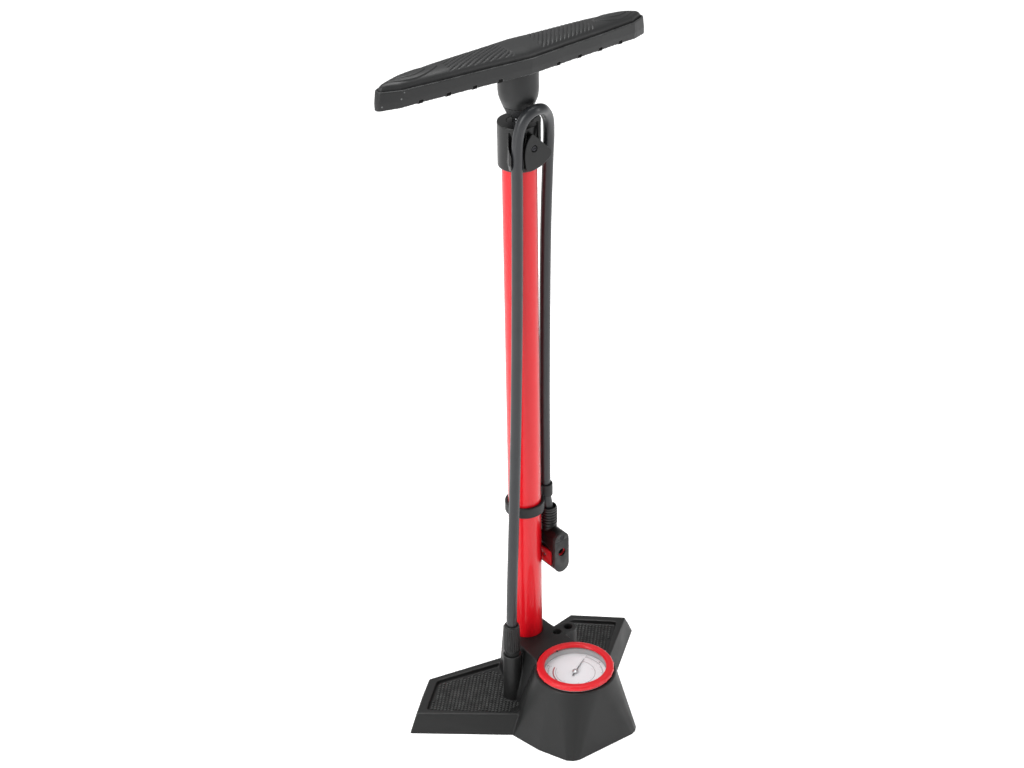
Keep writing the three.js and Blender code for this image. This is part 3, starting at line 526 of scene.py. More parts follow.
def shelf():
    """The round-ended shelf beside the barrel that holds the spare needles."""
    points = []
    for r, z in ((8.4, DECK), (9.9, 14)):
        points += circle(SHELF_X, SHELF_Y, r, z) + at_height([(10, SHELF_Y - r), (10, SHELF_Y + r)], z)
    return hull("shelf", points)


def panel_room(side):
    rim = rounded(PANEL, 4)
    top = at_height(mirrored(rim, side), WING_HIGH + 1)
    floor = at_height(mirrored(shrunk(rim, 0.8), side), PANEL_FLOOR)
    return hull("panel", top + floor)


def under_room(side):
    low = at_height(mirrored(shrunk(WING_FOOT, WALL), side), FOOT_LOW - ROOM_BELOW)
    high = at_height(mirrored(shrunk(WING_TOP, WALL), side), PANEL_FLOOR - WALL)
    return hull("under", low + high)


def hose_tower():
    """The round boss under the hose, and the web that ties it to the hub."""
    boss = cylinder("boss", 9.2, 13, 69, BOSS_SPOT)
    web_size = (14, 9, NOSE_TOP - WING_HIGH)
    web = block("web", web_size, (-29, BOSS.y + 1, (NOSE_TOP + WING_HIGH) / 2))
    return boss, web


def base_moulding():
    base = wing(1)
    combine(base, wing(-1))
    for side in (1, -1):
        cut(base, panel_room(side))
    boss, web = hose_tower()
    combine(base, nose(0), hub(0), shelf(), boss, web)
    room = nose(WALL)
    combine(room, hub(WALL))
    cut(base, room)
    for side in (1, -1):
        cut(base, under_room(side))
    well = lathe("well", [(CUP_R, 43), (36.2, 43), (36.2, 65), (CUP_R, 65)], 96, (0, GAUGE_Y))
    socket = lathe("socket", [(BARREL_ROOM_R, 10), (22.1, 10), (22.1, 69), (BARREL_ROOM_R, 69)], 96)
    combine(base, well, socket)
    cut(base,
        cylinder("barrel_room", BARREL_ROOM_R, 12, OPEN_TOP),
        cylinder("block_room", 24, -5, 14),
        cylinder("gauge_room", CUP_R, 41, OPEN_TOP, (0, GAUGE_Y)),
        cylinder("bezel_room", GAUGE_R + 1.2, NOSE_TOP, OPEN_TOP, (0, GAUGE_Y)),
        cylinder("hose_room", 6.1, 8, 72, BOSS_SPOT))
    melt(base, 0.85, 4)
    cut(base, block("ground", (400, 400, 20), (0, 0, BASE_LOW - 10)))
    needle_hole = [(ON_AXIS, 46), (4.3, 46), (4.3, DECK - 1), (5.2, DECK + 1), (ON_AXIS, DECK + 1)]
    for x in NEEDLE_HOLES_X:
        cut(base, lathe("needle_room", needle_hole, 64, (x, SHELF_Y)))
    base.name = "base_moulding"
    return dress(base, "black_plastic", stands_for=["base_shell"])


def inside(point, outline):
    x, y = point
    hit = False
    for (x1, y1), (x2, y2) in zip(outline, outline[1:] + outline[:1]):
        if (y1 > y) != (y2 > y) and x < (x2 - x1) * (y - y1) / (y2 - y1) + x1:
            hit = not hit
    return hit


def studs(name, outlines, low, high, taper=1.0):
    """One closed body for each outline, drawn in towards its middle at the top."""
    vertices, faces = [], []
    for outline in outlines:
        start, count = len(vertices), len(outline)
        centre = sum((Vector(corner) for corner in outline), Vector((0, 0))) / count
        drawn_in = [centre + (Vector(corner) - centre) * taper for corner in outline]
        vertices += at_height(outline, low) + at_height(drawn_in, high)
        faces.append([start + i for i in reversed(range(count))])
        faces.append([start + count + i for i in range(count)])
        for i in range(count):
            n = (i + 1) % count
            faces.append((start + i, start + n, start + count + n, start + count + i))
    return make(name, vertices, faces)


TREAD_FIELD = [(26, 19), (84, 34.5), (116, 6.5), (56, -43), (33, -40)]
DASH_HALF_LONG, DASH_HALF_WIDE = 1.6, 0.75
DASH_STEP, ROW_STEP = 4.6, 2.5
DASH_STEPS, ROWS = range(5, 27), range(-20, 16)


def tread(side, name):
    """Rows of short raised dashes on a wing's panel, each row shifted by half a step."""
    field = mirrored(TREAD_FIELD, side)
    dashes = []
    for row in ROWS:
        for step in DASH_STEPS:
            x = side * (step + (row % 2) / 2) * DASH_STEP
            y = row * ROW_STEP
            if inside((x, y), field):
                left, right = x - DASH_HALF_LONG, x + DASH_HALF_LONG
                near, far = y - DASH_HALF_WIDE, y + DASH_HALF_WIDE
                dashes.append([(left, near), (right, near), (right, far), (left, far)])
    return dress(studs(name, dashes, PANEL_FLOOR - 0.3, PANEL_FLOOR + 1.1, 0.7), "tread_plastic")


base_moulding()
tread(1, "tread_right")
tread(-1, "tread_left")
for node in ("foot_pad_right", "foot_pad_left", "foot_pad_nose_right", "foot_pad_nose_left"):
    paint(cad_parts[node], "rubber")


# ---------------------------------------------------------------- barrel
def barrel():
    low, high = place("barrel")
    wall = [(14.4, low.z), (16, low.z), (16, high.z), (14.4, high.z)]
    return dress(lathe("barrel_tube", rounded(wall, 0.3, 3), 128), "red_paint", stands_for=["barrel"])


barrel()

# ---------------------------------------------------------------- gauge
BEZEL_LOW = place("gauge_bezel")[0].z
GRIP_COUNT, GRIP_HEIGHT = 24, 0.35
GRIP_FROM = 36.4  # the grip bumps rise outwards from this radius
DIAL_Z = place("gauge_dial")[1].z
PRINT = 0.04  # thickness of the printed lines
ZERO, SWEEP = math.radians(30), math.radians(-270)


def bezel():
    profile = softened([(CUP_R, 0, 0.2), (GAUGE_R, 0, 0.4), (GAUGE_R + 0.2, 2.8, 1.6), (GRIP_FROM, 4.6, 1.4),
                        (31.6, 4.8, 0.8), (30.2, 3.4, 0.4), (30.2, 2, 0.1), (CUP_R, 2, 0.1)], BEZEL_LOW)

    def grips(angle, r, z):
        wave = max(0.0, math.cos(angle * GRIP_COUNT)) ** 8
        share = max(0.0, min(1.0, r - GRIP_FROM))
        return r + GRIP_HEIGHT * wave * share

    piece = lathe("bezel_ring", profile, 480, (0, GAUGE_Y), grips)
    arrow = [(-1.7, 31), (1.7, 31), (0, 28.3)]
    mark = hull("bezel_mark", [(x, GAUGE_Y + y, BEZEL_LOW + z) for x, y in arrow for z in (2.3, 3.2)])
    dress(mark, "black_plastic", "bezel")
    return dress(piece, "red_plastic", "bezel", ["gauge_bezel"])


def dial_text(name, text, size, radius, angle, look):
    """A number lying on the dial, read from the barrel's side."""
    curve = bpy.data.curves.new(name, "FONT")
    curve.body = text
    curve.size = size * MM
    curve.align_x = "CENTER"
    curve.align_y = "CENTER"
    curve.extrude = 0.02 * MM
    text_object = add(name, curve)
    bpy.context.view_layer.update()
    mesh = bpy.data.meshes.new_from_object(text_object.evaluated_get(bpy.context.evaluated_depsgraph_get()))
    bpy.data.objects.remove(text_object)
    piece = add(name, mesh)
    spot = Vector((radius * math.cos(angle), GAUGE_Y + radius * math.sin(angle), DIAL_Z + PRINT)) * MM
    piece.data.transform(Matrix.Translation(spot) @ Matrix.Rotation(math.pi, 4, "Z"))
    return dress(piece, look)


def numbers(name, count, step, spans, size, radius, look):
    """The first count numbers of a scale that is divided into spans."""
    for i in range(count):
        dial_text(f"{name}_{i}", str(i * step), size, radius, ZERO + SWEEP * i / spans, look)


def arc_band(name, inner, outer, start, end, look, steps=120):
    turns = [start + (end - start) * i / steps for i in range(steps + 1)]
    near = [(inner * math.cos(a), GAUGE_Y + inner * math.sin(a)) for a in turns]
    far = [(outer * math.cos(a), GAUGE_Y + outer * math.sin(a)) for a in turns]
    return dress(prism(name, near + far[::-1], DIAL_Z, DIAL_Z + PRINT), look)


def ticks(name, count, inner, outer, long_inner, every, width, look):
    marks = []
    centre = Vector((0, GAUGE_Y))
    for i in range(count + 1):
        a = ZERO + SWEEP * i / count
        start = long_inner if i % every == 0 else inner
        across = Vector((-math.sin(a), math.cos(a))) * width / 2
        along = Vector((math.cos(a), math.sin(a)))
        corners = ((start, -1), (outer, -1), (outer, 1), (start, 1))
        marks.append([centre + along * reach + across * side for reach, side in corners])
    return dress(studs(name, marks, DIAL_Z, DIAL_Z + PRINT), look)


def dial():
    disc = cylinder("dial_disc", 30.9, DIAL_Z - 0.8, DIAL_Z, (0, GAUGE_Y), count=128)
    dress(disc, "dial_white", stands_for=["gauge_dial"])
    arc_band("dial_outer_line", 26.9, 27.2, ZERO, ZERO + SWEEP, "ink")
    arc_band("dial_inner_line", 19.2, 19.5, ZERO, ZERO + SWEEP, "ink")
    arc_band("dial_high_zone", 21.2, 22.6, ZERO + SWEEP * 0.78, ZERO + SWEEP, "red_ink")
    ticks("dial_outer_ticks", 80, 25.9, 27.2, 24.9, 5, 0.22, "ink")
    ticks("dial_inner_ticks", 55, 19.5, 20.2, 20.6, 5, 0.22, "red_ink")
    numbers("dial_number", 9, 20, 8, 2.3, 28.9, "ink")
    numbers("dial_small", 6, 2, 5.5, 1.9, 17.4, "red_ink")


def cup_and_lens():
    profile = [(4.2, 43), (33.2, 43), (33.2, 66.2), (36.4, 66.2), (36.4, 67.4), (31.4, 67.4),
               (31.4, 60.9), (29.6, 60.9), (29.6, 45), (4.2, 45)]
    cup = lathe("cup_bowl", rounded(profile, 0.2, 2), 128, (0, GAUGE_Y))
    dress(cup, "grey_plastic", stands_for=["gauge_cup"])
    profile = [(ON_AXIS, 67.7), (33.2, 67.7), (33.2, 69.2), (24, 69.5), (ON_AXIS, 69.6)]
    lens = lathe("lens_disc", profile, 128, (0, GAUGE_Y), crease=30)
    dress(lens, "glass", stands_for=["gauge_lens"])


def pointer():
    low, high = 62.9, 63.4
    outline = [(-7, -0.8), (-7, 0.8), (0, 0.6), (0, -0.6), (22.5, 0.12), (22.5, -0.12)]
    blade = hull("pointer_blade", at_height(outline, low) + at_height(outline, high))
    to_zero = Matrix.Rotation(ZERO, 4, "Z")
    blade.data.transform(Matrix.Translation(Vector((0, GAUGE_Y, 0)) * MM) @ to_zero)
    dress(blade, "ink", "pointer", ["gauge_needle"])
    profile = softened([(ON_AXIS, 0, 0), (3.1, 0, 0.2), (3.1, 1.5, 0.5), (ON_AXIS, 2.5, 0)], low, 4)
    dress(lathe("pointer_cap", profile, 48, (0, GAUGE_Y)), "steel", "pointer")


bezel()
dial()
cup_and_lens()
pointer()

#gauge()

# ---------------------------------------------------------------- hose and its fitting
HOSE_R = 5.2
HEAD = middle("head_body")
HOSE_PATH = [
    (BOSS.x, BOSS.y, 84), (BOSS.x, BOSS.y, 100), (-35, -24.2, 130), (-28.7, -22.5, 240), (-23.2, -21, 351),
    (-19.4, -19.9, 458), (-17.1, -19.4, 560), (-16.6, -19.3, 600), (-15.6, -20.3, 622), (-11.8, -22.7, 637),
    (-6, -24.4, 643.2), (0.4, -24.9, 645.2), (8, -23.2, 643.4), (15.6, -18.3, 637), (23, -12.7, 626.6),
    (28, -7, 609.5), (28.5, -4.4, 580), (27, -2.4, 510), (25, -1, 351), (24.5, -1, 262),
    (24.5, -1, 236), (24.5, -1.3, 222), (24.9, -3.2, 212), (25.4, -4.8, 204), (25.5, -5, 197),
]
dress(sweep("hose_tube", smooth_path(HOSE_PATH, 12), HOSE_R, 32), "hose_rubber", stands_for=["hose"])


def nut():
    low, high = place("hose_nut")
    profile = rounded([(5.3, low.z + 8), (6.4, low.z + 7), (6.4, low.z), (7.9, low.z), (8.3, low.z + 3),
                       (8.3, low.z + 4.6), (8.0, high.z - 7), (7.6, high.z - 1.2), (6.9, high.z),
                       (5.3, high.z)], 0.5, 3)

    def ribs(angle, r, z):
        share = 1.0 if low.z + 4 < z < high.z - 2.2 and r > 7 else 0.0
        return r - share * 0.6 * (0.5 - 0.5 * math.cos(angle * 22)) ** 2

    dense = []
    for (r1, z1), (r2, z2) in zip(profile, profile[1:] + profile[:1]):
        parts = max(1, int(abs(z2 - z1) / 1.5))
        dense += [(r1 + (r2 - r1) * i / parts, z1 + (z2 - z1) * i / parts) for i in range(parts)]
    return dress(lathe("nut_sleeve", dense, 264, BOSS_SPOT, ribs), "black_plastic", stands_for=["hose_nut"])


def fitting():
    pitch = 1.3
    thread = []
    z = 69.4
    while z < 72:
        thread += [(6.5, z), (7.2, z + 0.5), (7.2, z + 0.8), (6.5, z + pitch)]
        z += pitch
    below = [(2, 12.8), (4.2, 12.8), (4.2, 34), (5.9, 34), (5.9, 69)]
    above = [(6.2, 73), (6.2, 78), (5.4, 78), (5.4, 69.2), (2, 69.2)]
    tail = lathe("fitting_tail", below + thread + above, 64, BOSS_SPOT)
    return dress(tail, "black_plastic", stands_for=["hose_fitting"])


nut()
fitting()


# ---------------------------------------------------------------- collar, hook, bands
COLLAR_LOW, COLLAR_HIGH, COLLAR_R = 584.0, 626.7, 19.7
COLLAR_STEP = 616  # the barrel's end stops here
HOOK_X, HOOK_Z = -1, 608
HOOK_SPOT = (HOOK_X, HOOK_Z)
BAND_LOW, BAND_HIGH, BAND_R = 213.4, 224.4, 19.2
CLIP_X, CLIP_Y = 24.5, -1


def saddle():
    """The swelling on the collar's side that the hose lies in."""
    def end(z):
        return circle(-12, -14, 8, z, 48) + circle(-13.6, -16, 8, z, 48)

    middle_z = COLLAR_LOW + 12
    swelling = circle(-13.5, -15.8, 9.4, middle_z, 48) + circle(-17, -19.6, 8.0, middle_z, 48)
    piece = hull("saddle", end(COLLAR_LOW + 4.5) + swelling + end(COLLAR_HIGH - 4))
    return cut(piece, cylinder("saddle_core", 15, COLLAR_LOW - 2, COLLAR_HIGH + 2))


def hose_funnel():
    """The flare above the hose channel."""
    piece = lathe("funnel", [(ON_AXIS, 602), (5, 602), (13, 630), (ON_AXIS, 630)], 64, (-17.5, -20.6))
    return cut(piece, cylinder("funnel_core", COLLAR_R, 598, 640, count=160))


def collar():
    lip = COLLAR_HIGH - 3.2
    profile = softened([(11.2, COLLAR_HIGH, 0.2), (COLLAR_R, COLLAR_HIGH, 0.6), (COLLAR_R, COLLAR_LOW, 0.8),
                        (BARREL_ROOM_R, COLLAR_LOW, 0.2), (BARREL_ROOM_R, COLLAR_STEP, 0),
                        (9.2, COLLAR_STEP, 0), (9.2, lip, 0), (11.2, lip, 0)])
    body = lathe("collar_body", profile, 160)
    combine(body, saddle())
    path = smooth_path([(-17, -19.3, 560), (-16.7, -19.2, 590), (-16.2, -19.3, 608), (-14, -21.5, 640)], 6)
    funnel = hose_funnel()
    cut(body,
        sweep("channel", path, HOSE_R + 0.4, 32),
        block("mouth", (8.6, 20, 60), (-23.6, -26.8, 600), -41),
        funnel,
        block("hook_room", (43.6, 10, 60), (2.4, -26.4, 606)),
        cylinder("bore", BARREL_ROOM_R, COLLAR_LOW - 3, COLLAR_STEP, count=160),
        cylinder("hook_thread", 1.7, -22.5, -14, HOOK_SPOT, "Y", 24))
    melt(body, 0.45, 3)
    return dress(body, "collar_plastic", stands_for=["top_collar"])


def hook():
    outline = [(-2.5, 14.6), (-6.3, 10.5), (-9.4, 2.9), (-10.5, -4.4), (-10, -12.3), (-8.4, -20.6),
               (-3.6, -21.2), (7.3, -19.4), (17.6, -13), (20.2, -7.6), (-0.8, 14.2)]
    shield = rounded(outline, [1.5, 3, 3, 3, 4, 5, 4, 4, 4, 3, 1.5])
    plate = prism("hook_plate", [(HOOK_X + x, HOOK_Z + z) for x, z in shield], -24.6, -21.4, "Y")
    post = hull("hook_post", circle(4.6, -22.8, 2, HOOK_Z - 2, 24) + circle(7, -20.4, 2.1, 635, 24))
    knob = hull("hook_knob", circle(0, -20.6, 2, 632.5, 24) + circle(0, -20.6, 1.7, 635.4, 24)
                + circle(7, -20.3, 2.2, 633, 24) + circle(6, -20.2, 1.7, 637.4, 24))
    seat = cylinder("hook_seat", 4.6, -21.7, -19, HOOK_SPOT, "Y")
    combine(plate, post, knob, seat)
    cut(plate,
        cylinder("collar_room", COLLAR_R + 0.2, 570, 628, count=160),
        cylinder("screw_room", 1.9, -30, -10, HOOK_SPOT, "Y"),
        cylinder("sink", 3.3, -30, -22.3, HOOK_SPOT, "Y"))
    melt(plate, 0.4, 2)
    return dress(plate, "head_plastic", stands_for=["hose_hook"])


def clip_band():
    strap = [(BARREL_ROOM_R, BAND_LOW), (BAND_R, BAND_LOW), (BAND_R, BAND_HIGH), (BARREL_ROOM_R, BAND_HIGH)]
    band = lathe("band_strap", rounded(strap, 0.8), 128)
    clip = cylinder("clip", 7.2, 221, 234, (CLIP_X, CLIP_Y))
    cut(clip, block("clip_mouth", (12, 7.6, 20), (CLIP_X + 3.44, CLIP_Y + 4.9, 227), 55))
    combine(band, block("neck", (4, 7, 20.6), (18, CLIP_Y, 223.7)), clip)
    cut(band,
        cylinder("band_bore", BARREL_ROOM_R, 200, 260, count=128),
        cylinder("hose_bore", 5.5, 205, 260, (CLIP_X, CLIP_Y)))
    melt(band, 0.4, 3)
    return dress(band, "rubber", stands_for=["clip_band"])


collar()
hook()
clip_band()


# ---------------------------------------------------------------- valve head
def stadium(half, low, high, count=24):
    """The head seen from the front: straight sides between two half circles."""
    outline = []
    for start, middle_z in ((math.pi, low + half), (0, high - half)):
        for a in np.linspace(start, start + math.pi, count):
            outline.append((HEAD.x + half * math.cos(a), middle_z + half * math.sin(a)))
    return outline


LEVER_Y, LEVER_Z = -8, 156
PIVOT = (LEVER_Y, LEVER_Z)
REACH = 13.9  # radius of the rounded cheek that the lever turns around
PIN_ROOM_R = 1.65
NECK = (HEAD.x, -5)
MOUTH = (HEAD.x, 165)
MOUTH_SCREW = (HEAD.x, 182)
HEAD_OUTLINE = stadium(8.5, 142, 187.5)


def head_shell():
    body = prism("head_shell", HEAD_OUTLINE, -24, 6, "Y")
    low_back = block("low_back", (30, 20, 60), (HEAD.x, LEVER_Y + 10, LEVER_Z - 20.8))
    keep = cylinder("keep", REACH, HEAD.x - 12, HEAD.x + 12, PIVOT, "X", 96)
    cut(low_back, keep)
    cut(body, low_back)
    neck = cylinder("neck", 6.4, 178, 202, NECK)
    shoulder = cylinder("shoulder", 7.9, 178, 187.9, NECK)
    combine(body, neck, shoulder)
    for side in (-1, 1):
        x1, x2 = sorted((HEAD.x + side * 6.45, HEAD.x + side * 12))
        cut(body,
            cylinder("pocket", REACH + 0.3, x1, x2, PIVOT, "X", 96),
            block("pocket_back", (x2 - x1, 20, 17.6), ((x1 + x2) / 2, LEVER_Y + 14, LEVER_Z)))
    cut(body,
        cylinder("valve_room", 5.4, -30, -14, MOUTH, "Y"),
        cylinder("pin_room", PIN_ROOM_R, HEAD.x - 12, HEAD.x + 12, PIVOT, "X", 32),
        cylinder("hose_room", 5.15, 196.6, 216, NECK))
    melt(body, 0.4, 3)
    dress(body, "head_plastic", stands_for=["head_body"])


def mouth_plate():
    plate = prism("mouth_plate", HEAD_OUTLINE, -26, -24.3, "Y")
    cut(plate,
        cylinder("mouth_hole", 4.3, -30, -20, MOUTH, "Y"),
        cylinder("screw_hole", 1.7, -30, -20, MOUTH_SCREW, "Y", 32),
        cylinder("screw_sink", 2.5, -30, -25, MOUTH_SCREW, "Y", 32))
    left, right = HEAD.x - 12, HEAD.x + 12
    groove = prism("groove", [(left, 177.2), (right, 179.4), (right, 179.9), (left, 177.7)], -27, -25.6, "Y")
    cut(plate, groove)
    bevel(plate, 0.5)
    dress(plate, "head_plastic", stands_for=["head_mouth"])


def lever():
    y, z = PIVOT
    heel = y + REACH
    side = [(y - 10.6, z - 8), (y + 5, z - 8), (heel, z - 1.4), (heel + 8, z + 0.6), (heel + 18, z + 4.2),
            (heel + 27, z + 8.6), (heel + 25, z + 12), (heel + 14, z + 8.4), (heel + 6, z + 7),
            (y - 10.2, z + 8.6)]
    arm = prism("lever_arm", rounded(side, [1.5, 2, 3, 6, 6, 2, 2, 6, 6, 1.5]), HEAD.x - 8, HEAD.x + 8, "X")
    cut(arm,
        cylinder("lever_room", REACH + 0.4, HEAD.x - 6.6, HEAD.x + 6.6, PIVOT, "X", 96),
        block("lever_gap", (13.2, 30, 40), (HEAD.x, y - 15, z)),
        cylinder("lever_pin_room", PIN_ROOM_R, HEAD.x - 20, HEAD.x + 20, PIVOT, "X", 32))
    for s in (-1, 1):
        cut(arm, block("lever_window", (1.3, 9, 7), (HEAD.x + s * 8, y + 5.5, z)))
    bevel(arm, 0.35)
    dress(arm, "red_plastic", "lever", ["head_lever"])


def ferrule():
    low, high = place("head_ferrule")
    r = 8.3
    ribs = []
    z = low.z + 1.2
    while z < high.z - 3:
        ribs += [(r - 0.8, z), (r, z + 0.6), (r, z + 2.1), (r - 0.8, z + 2.7)]
        z += 3.1
    foot = [(6.55, low.z), (r - 0.6, low.z)]
    top = [(r - 0.3, high.z - 1.5), (r - 0.8, high.z), (6.9, high.z), (6.6, high.z - 5), (6.55, high.z - 6)]
    piece = lathe("ferrule_sleeve", foot + ribs + top, 96, NECK, crease=50)
    dress(piece, "head_plastic", stands_for=["head_ferrule"])


def ring_along_y(name, outer, inner, front, back, look, node):
    piece = cylinder(name, outer, front, back, MOUTH, "Y")
    cut(piece, cylinder("hole", inner, front - 1, back + 1, MOUTH, "Y"))
    bevel(piece, 0.25)
    dress(piece, look, stands_for=[node])


head_shell()
mouth_plate()
lever()
ferrule()
ring_along_y("mouth_ring", 5.2, 3.9, -23.9, -22.1, "red_plastic", "valve_bush")
ring_along_y("mouth_gasket", 5.2, 3.6, -21.8, -14.4, "rubber", "valve_gasket")


# ---------------------------------------------------------------- rod, socket and handle
ROD_BODY = "rod_and_handle"
HANDLE_LOW, HANDLE_RIM = 678, 693
HANDLE_TURN = math.radians(-1.2)
HALF_WIDTHS = [(0, 22.6), (40, 19.3), (82, 16.7), (124, 11.9), (142, 3.8)]
HANDLE_REACH = HALF_WIDTHS[-1][0]
STRAIGHT, SWEEP_BACK, DROOP, LEAN, DEEPEN = 22, 7, 4, 0.25, 0.14
FINGER_RIBS = [side * x for side in (-1, 1) for x in (31, 56, 81, 106)]
GRIP_ENDS = (14, 78)  # the dimples lie between these distances from the middle
DIMPLE_PITCH, DIMPLE_STEP = 3.7, 2.7
PAD_EDGE, PAD_DOME = 694.6, 6.2


def rod():
    low, high = place("piston_rod")
    tube = lathe("rod_tube", [(4.8, low.z), (6, low.z), (6, high.z), (4.8, high.z)], 64)
    dress(tube, "chrome", ROD_BODY, ["piston_rod"])


def bumper():
    low, high = place("rod_bumper")
    profile = softened([(6.2, low.z, 0.2), (8.8, low.z, 0.8), (10.6, low.z + 1.6, 1), (14.5, high.z, 0.3),
                        (6.2, high.z, 0)])
    dress(lathe("bumper_ring", profile, 96), "rubber", ROD_BODY, ["rod_bumper"])


def socket_cone():
    low = place("handle_socket")[0].z
    profile = softened([(6.2, low, 0), (14.6, low, 0.4), (17.8, 651, 4), (18.5, 657, 4), (18.5, 679, 0.3),
                        (9, 679, 0), (9, 684.4, 0.2), (2.9, 684.4, 0), (2.9, 668.3, 0), (6.2, 668.3, 0)])
    dress(lathe("socket_cone", profile, 128), "handle_plastic", ROD_BODY, ["handle_socket"])


def half_width(x):
    spots, widths = zip(*HALF_WIDTHS)
    return float(np.interp(abs(x), spots, widths))


def handle_outline(inset):
    """The handle seen from above, with rounded ends and drawn in by an inset."""
    reach = HANDLE_REACH - inset
    corner = 2.5
    xs = [-reach + corner * (1 - math.cos(a)) for a in np.linspace(0.2, math.pi / 2, 7)]
    xs += list(np.linspace(-reach + corner, reach - corner, 93))[1:-1]
    xs += [-x for x in reversed(xs[:7])]
    front = []
    for x in xs:
        beyond = max(0.0, abs(x) - (reach - corner))
        rounding = corner - math.sqrt(max(0.0, corner ** 2 - beyond ** 2))
        front.append((x, -max(0.4, half_width(x) - inset * 0.85 - rounding)))
    return front + [(x, -y) for x, y in reversed(front)]


def slab(name, levels):
    """Stacked outlines [(outline, z), ...] with the same number of corners."""
    count = len(levels[0][0])
    vertices = [(x, y, z) for outline, z in levels for x, y in outline]
    faces = [tuple(range(count))[::-1], tuple(range(len(vertices) - count, len(vertices)))]
    for k in range(len(levels) - 1):
        for i in range(count):
            n = (i + 1) % count
            faces.append((k * count + i, k * count + n, (k + 1) * count + n, (k + 1) * count + i))
    return make(name, vertices, faces)


def bend(piece):
    """Lays the handle's ends back and down with their walls leaning out, and turns the handle on its rod."""
    for vertex in piece.data.vertices:
        x, y, z = vertex.co / MM
        t = max(0, abs(x) - STRAIGHT) / (HANDLE_REACH - STRAIGHT)
        depth = max(0, HANDLE_RIM - z)
        x += math.copysign(LEAN * depth * t ** 4, x)
        y += SWEEP_BACK * t ** 1.5
        z -= DROOP * t ** 2 + DEEPEN * depth * t ** 4
        vertex.co = Vector((x, y, z)) * MM
    piece.data.transform(Matrix.Rotation(HANDLE_TURN, 4, "Z"))


def handle_body():
    outer = slab("handle_shell", [(handle_outline(1.7), HANDLE_LOW),
                                  (handle_outline(0.6), HANDLE_LOW + 6),
                                  (handle_outline(0), HANDLE_RIM - 1),
                                  (handle_outline(0), HANDLE_RIM + 0.5)])
    hollow = slab("hollow", [(handle_outline(4.6), HANDLE_LOW - 1), (handle_outline(3.6), HANDLE_RIM - 3.4)])
    cut(outer, hollow)
    hub_post = cylinder("hub_post", 12.5, HANDLE_LOW + 0.3, HANDLE_RIM - 2)
    spine = block("spine", (240, 2.2, 8), (0, 0, HANDLE_RIM - 6.5))
    combine(outer, hub_post, spine)
    for x in FINGER_RIBS:
        cut(outer, block("notch", (4.6, 60, 3.6), (x, 0, HANDLE_LOW + 0.9)))
    tray = slab("tray", [(handle_outline(1.9), HANDLE_RIM - 1.8), (handle_outline(1.9), HANDLE_RIM + 2)])
    cut(outer,
        tray,
        cylinder("socket_room", 18.7, HANDLE_LOW - 2, 679.2),
        cylinder("plug_room", 9.15, 670, 684.8),
        cylinder("bolt_room", 2.9, 670, 700),
        cylinder("bolt_head_room", 6.4, 686.4, 700))
    melt(outer, 0.5, 2)
    bend(outer)
    return dress(outer, "handle_plastic", ROD_BODY, ["handle_body"])


def finger_ribs():
    """Cross ribs that fill the notches in the handle's lower edge, coloured near-black as painted shade for
    the notches' dark inside.
    """
    outlines = []
    for x in FINGER_RIBS:
        half = half_width(x) - 2.4
        outlines.append([(x - 2.6, -half), (x + 2.6, -half), (x + 2.6, half), (x - 2.6, half)])
    ribs = studs("handle_ribs", outlines, HANDLE_LOW - 0.9, HANDLE_RIM - 2.5)
    bend(ribs)
    # The near-black look is painted shade inside the notches.
    return dress(ribs, "notch_shade_black", ROD_BODY)


def dimple(x, y):
    """Depth of the grip's dimple pattern: slanted rows of small dots on both halves."""
    start, end = GRIP_ENDS
    if not start < abs(x) < end or abs(y) > half_width(x) - 5:
        return 0.0
    slant = math.radians(54 if x > 0 else 25)
    along = x * math.cos(slant) + y * math.sin(slant)
    across = -x * math.sin(slant) + y * math.cos(slant)
    row = math.cos(2 * math.pi * across / DIMPLE_PITCH)
    dot = 0.72 + 0.28 * math.cos(2 * math.pi * along / DIMPLE_STEP)
    edge = min(1.0, (abs(x) - start) / 3, (end - abs(x)) / 3, (half_width(x) - 5 - abs(y)) / 2)
    return -1.1 * max(0.0, row) ** 1.3 * dot * edge


def leaf(x, y):
    """Height of the two nested leaf-shaped ridges at each end of the grip."""
    height = 0.0
    for centre, length, width in ((107, 25, 8), (109, 15, 4.2)):
        t = (abs(x) - centre) / length
        if abs(t) >= 1:
            continue
        edge = width * (1 - t * t)
        depth_in = edge - abs(y)
        height += 0.9 * min(1.0, max(0.0, depth_in / 0.7))
    return height


def grip():
    rows, columns = 561, 73
    reach = HANDLE_REACH - 3
    vertices, faces = [], []
    for i in range(rows):
        x = -reach + 2 * reach * i / (rows - 1)
        width = half_width(x) - 3
        for j in range(columns):
            v = -1 + 2 * j / (columns - 1)
            y = width * math.sin(v * math.pi / 2)
            across = 1 - abs(y / width) ** 3.2
            along = 1 - abs(x / reach) ** 60
            lower_ends = 1 - 0.4 * abs(x / reach) ** 3
            dome = PAD_DOME * lower_ends * max(0.0, across) ** 0.6 * max(0.0, along) ** 0.5
            vertices.append((x, y, PAD_EDGE + dome + dimple(x, y) + leaf(x, y)))
    for i in range(rows - 1):
        for j in range(columns - 1):
            k = i * columns + j
            faces.append((k, k + columns, k + columns + 1, k + 1))
    edge = list(range(columns))
    edge += [i * columns + columns - 1 for i in range(1, rows)]
    edge += [(rows - 1) * columns + j for j in range(columns - 2, -1, -1)]
    edge += [i * columns for i in range(rows - 2, 0, -1)]
    start = len(vertices)
    for k in edge:
        x, y, _ = vertices[k]
        vertices.append((x, y, HANDLE_RIM - 1.4))
    for n in range(len(edge)):
        m = (n + 1) % len(edge)
        faces.append((edge[n], edge[m], start + m, start + n))
    faces.append(tuple(range(start, len(vertices))))
    piece = make("grip_pad", vertices, faces, 40)
    bend(piece)
    return dress(piece, "grip_plastic", ROD_BODY, ["handle_grip"])


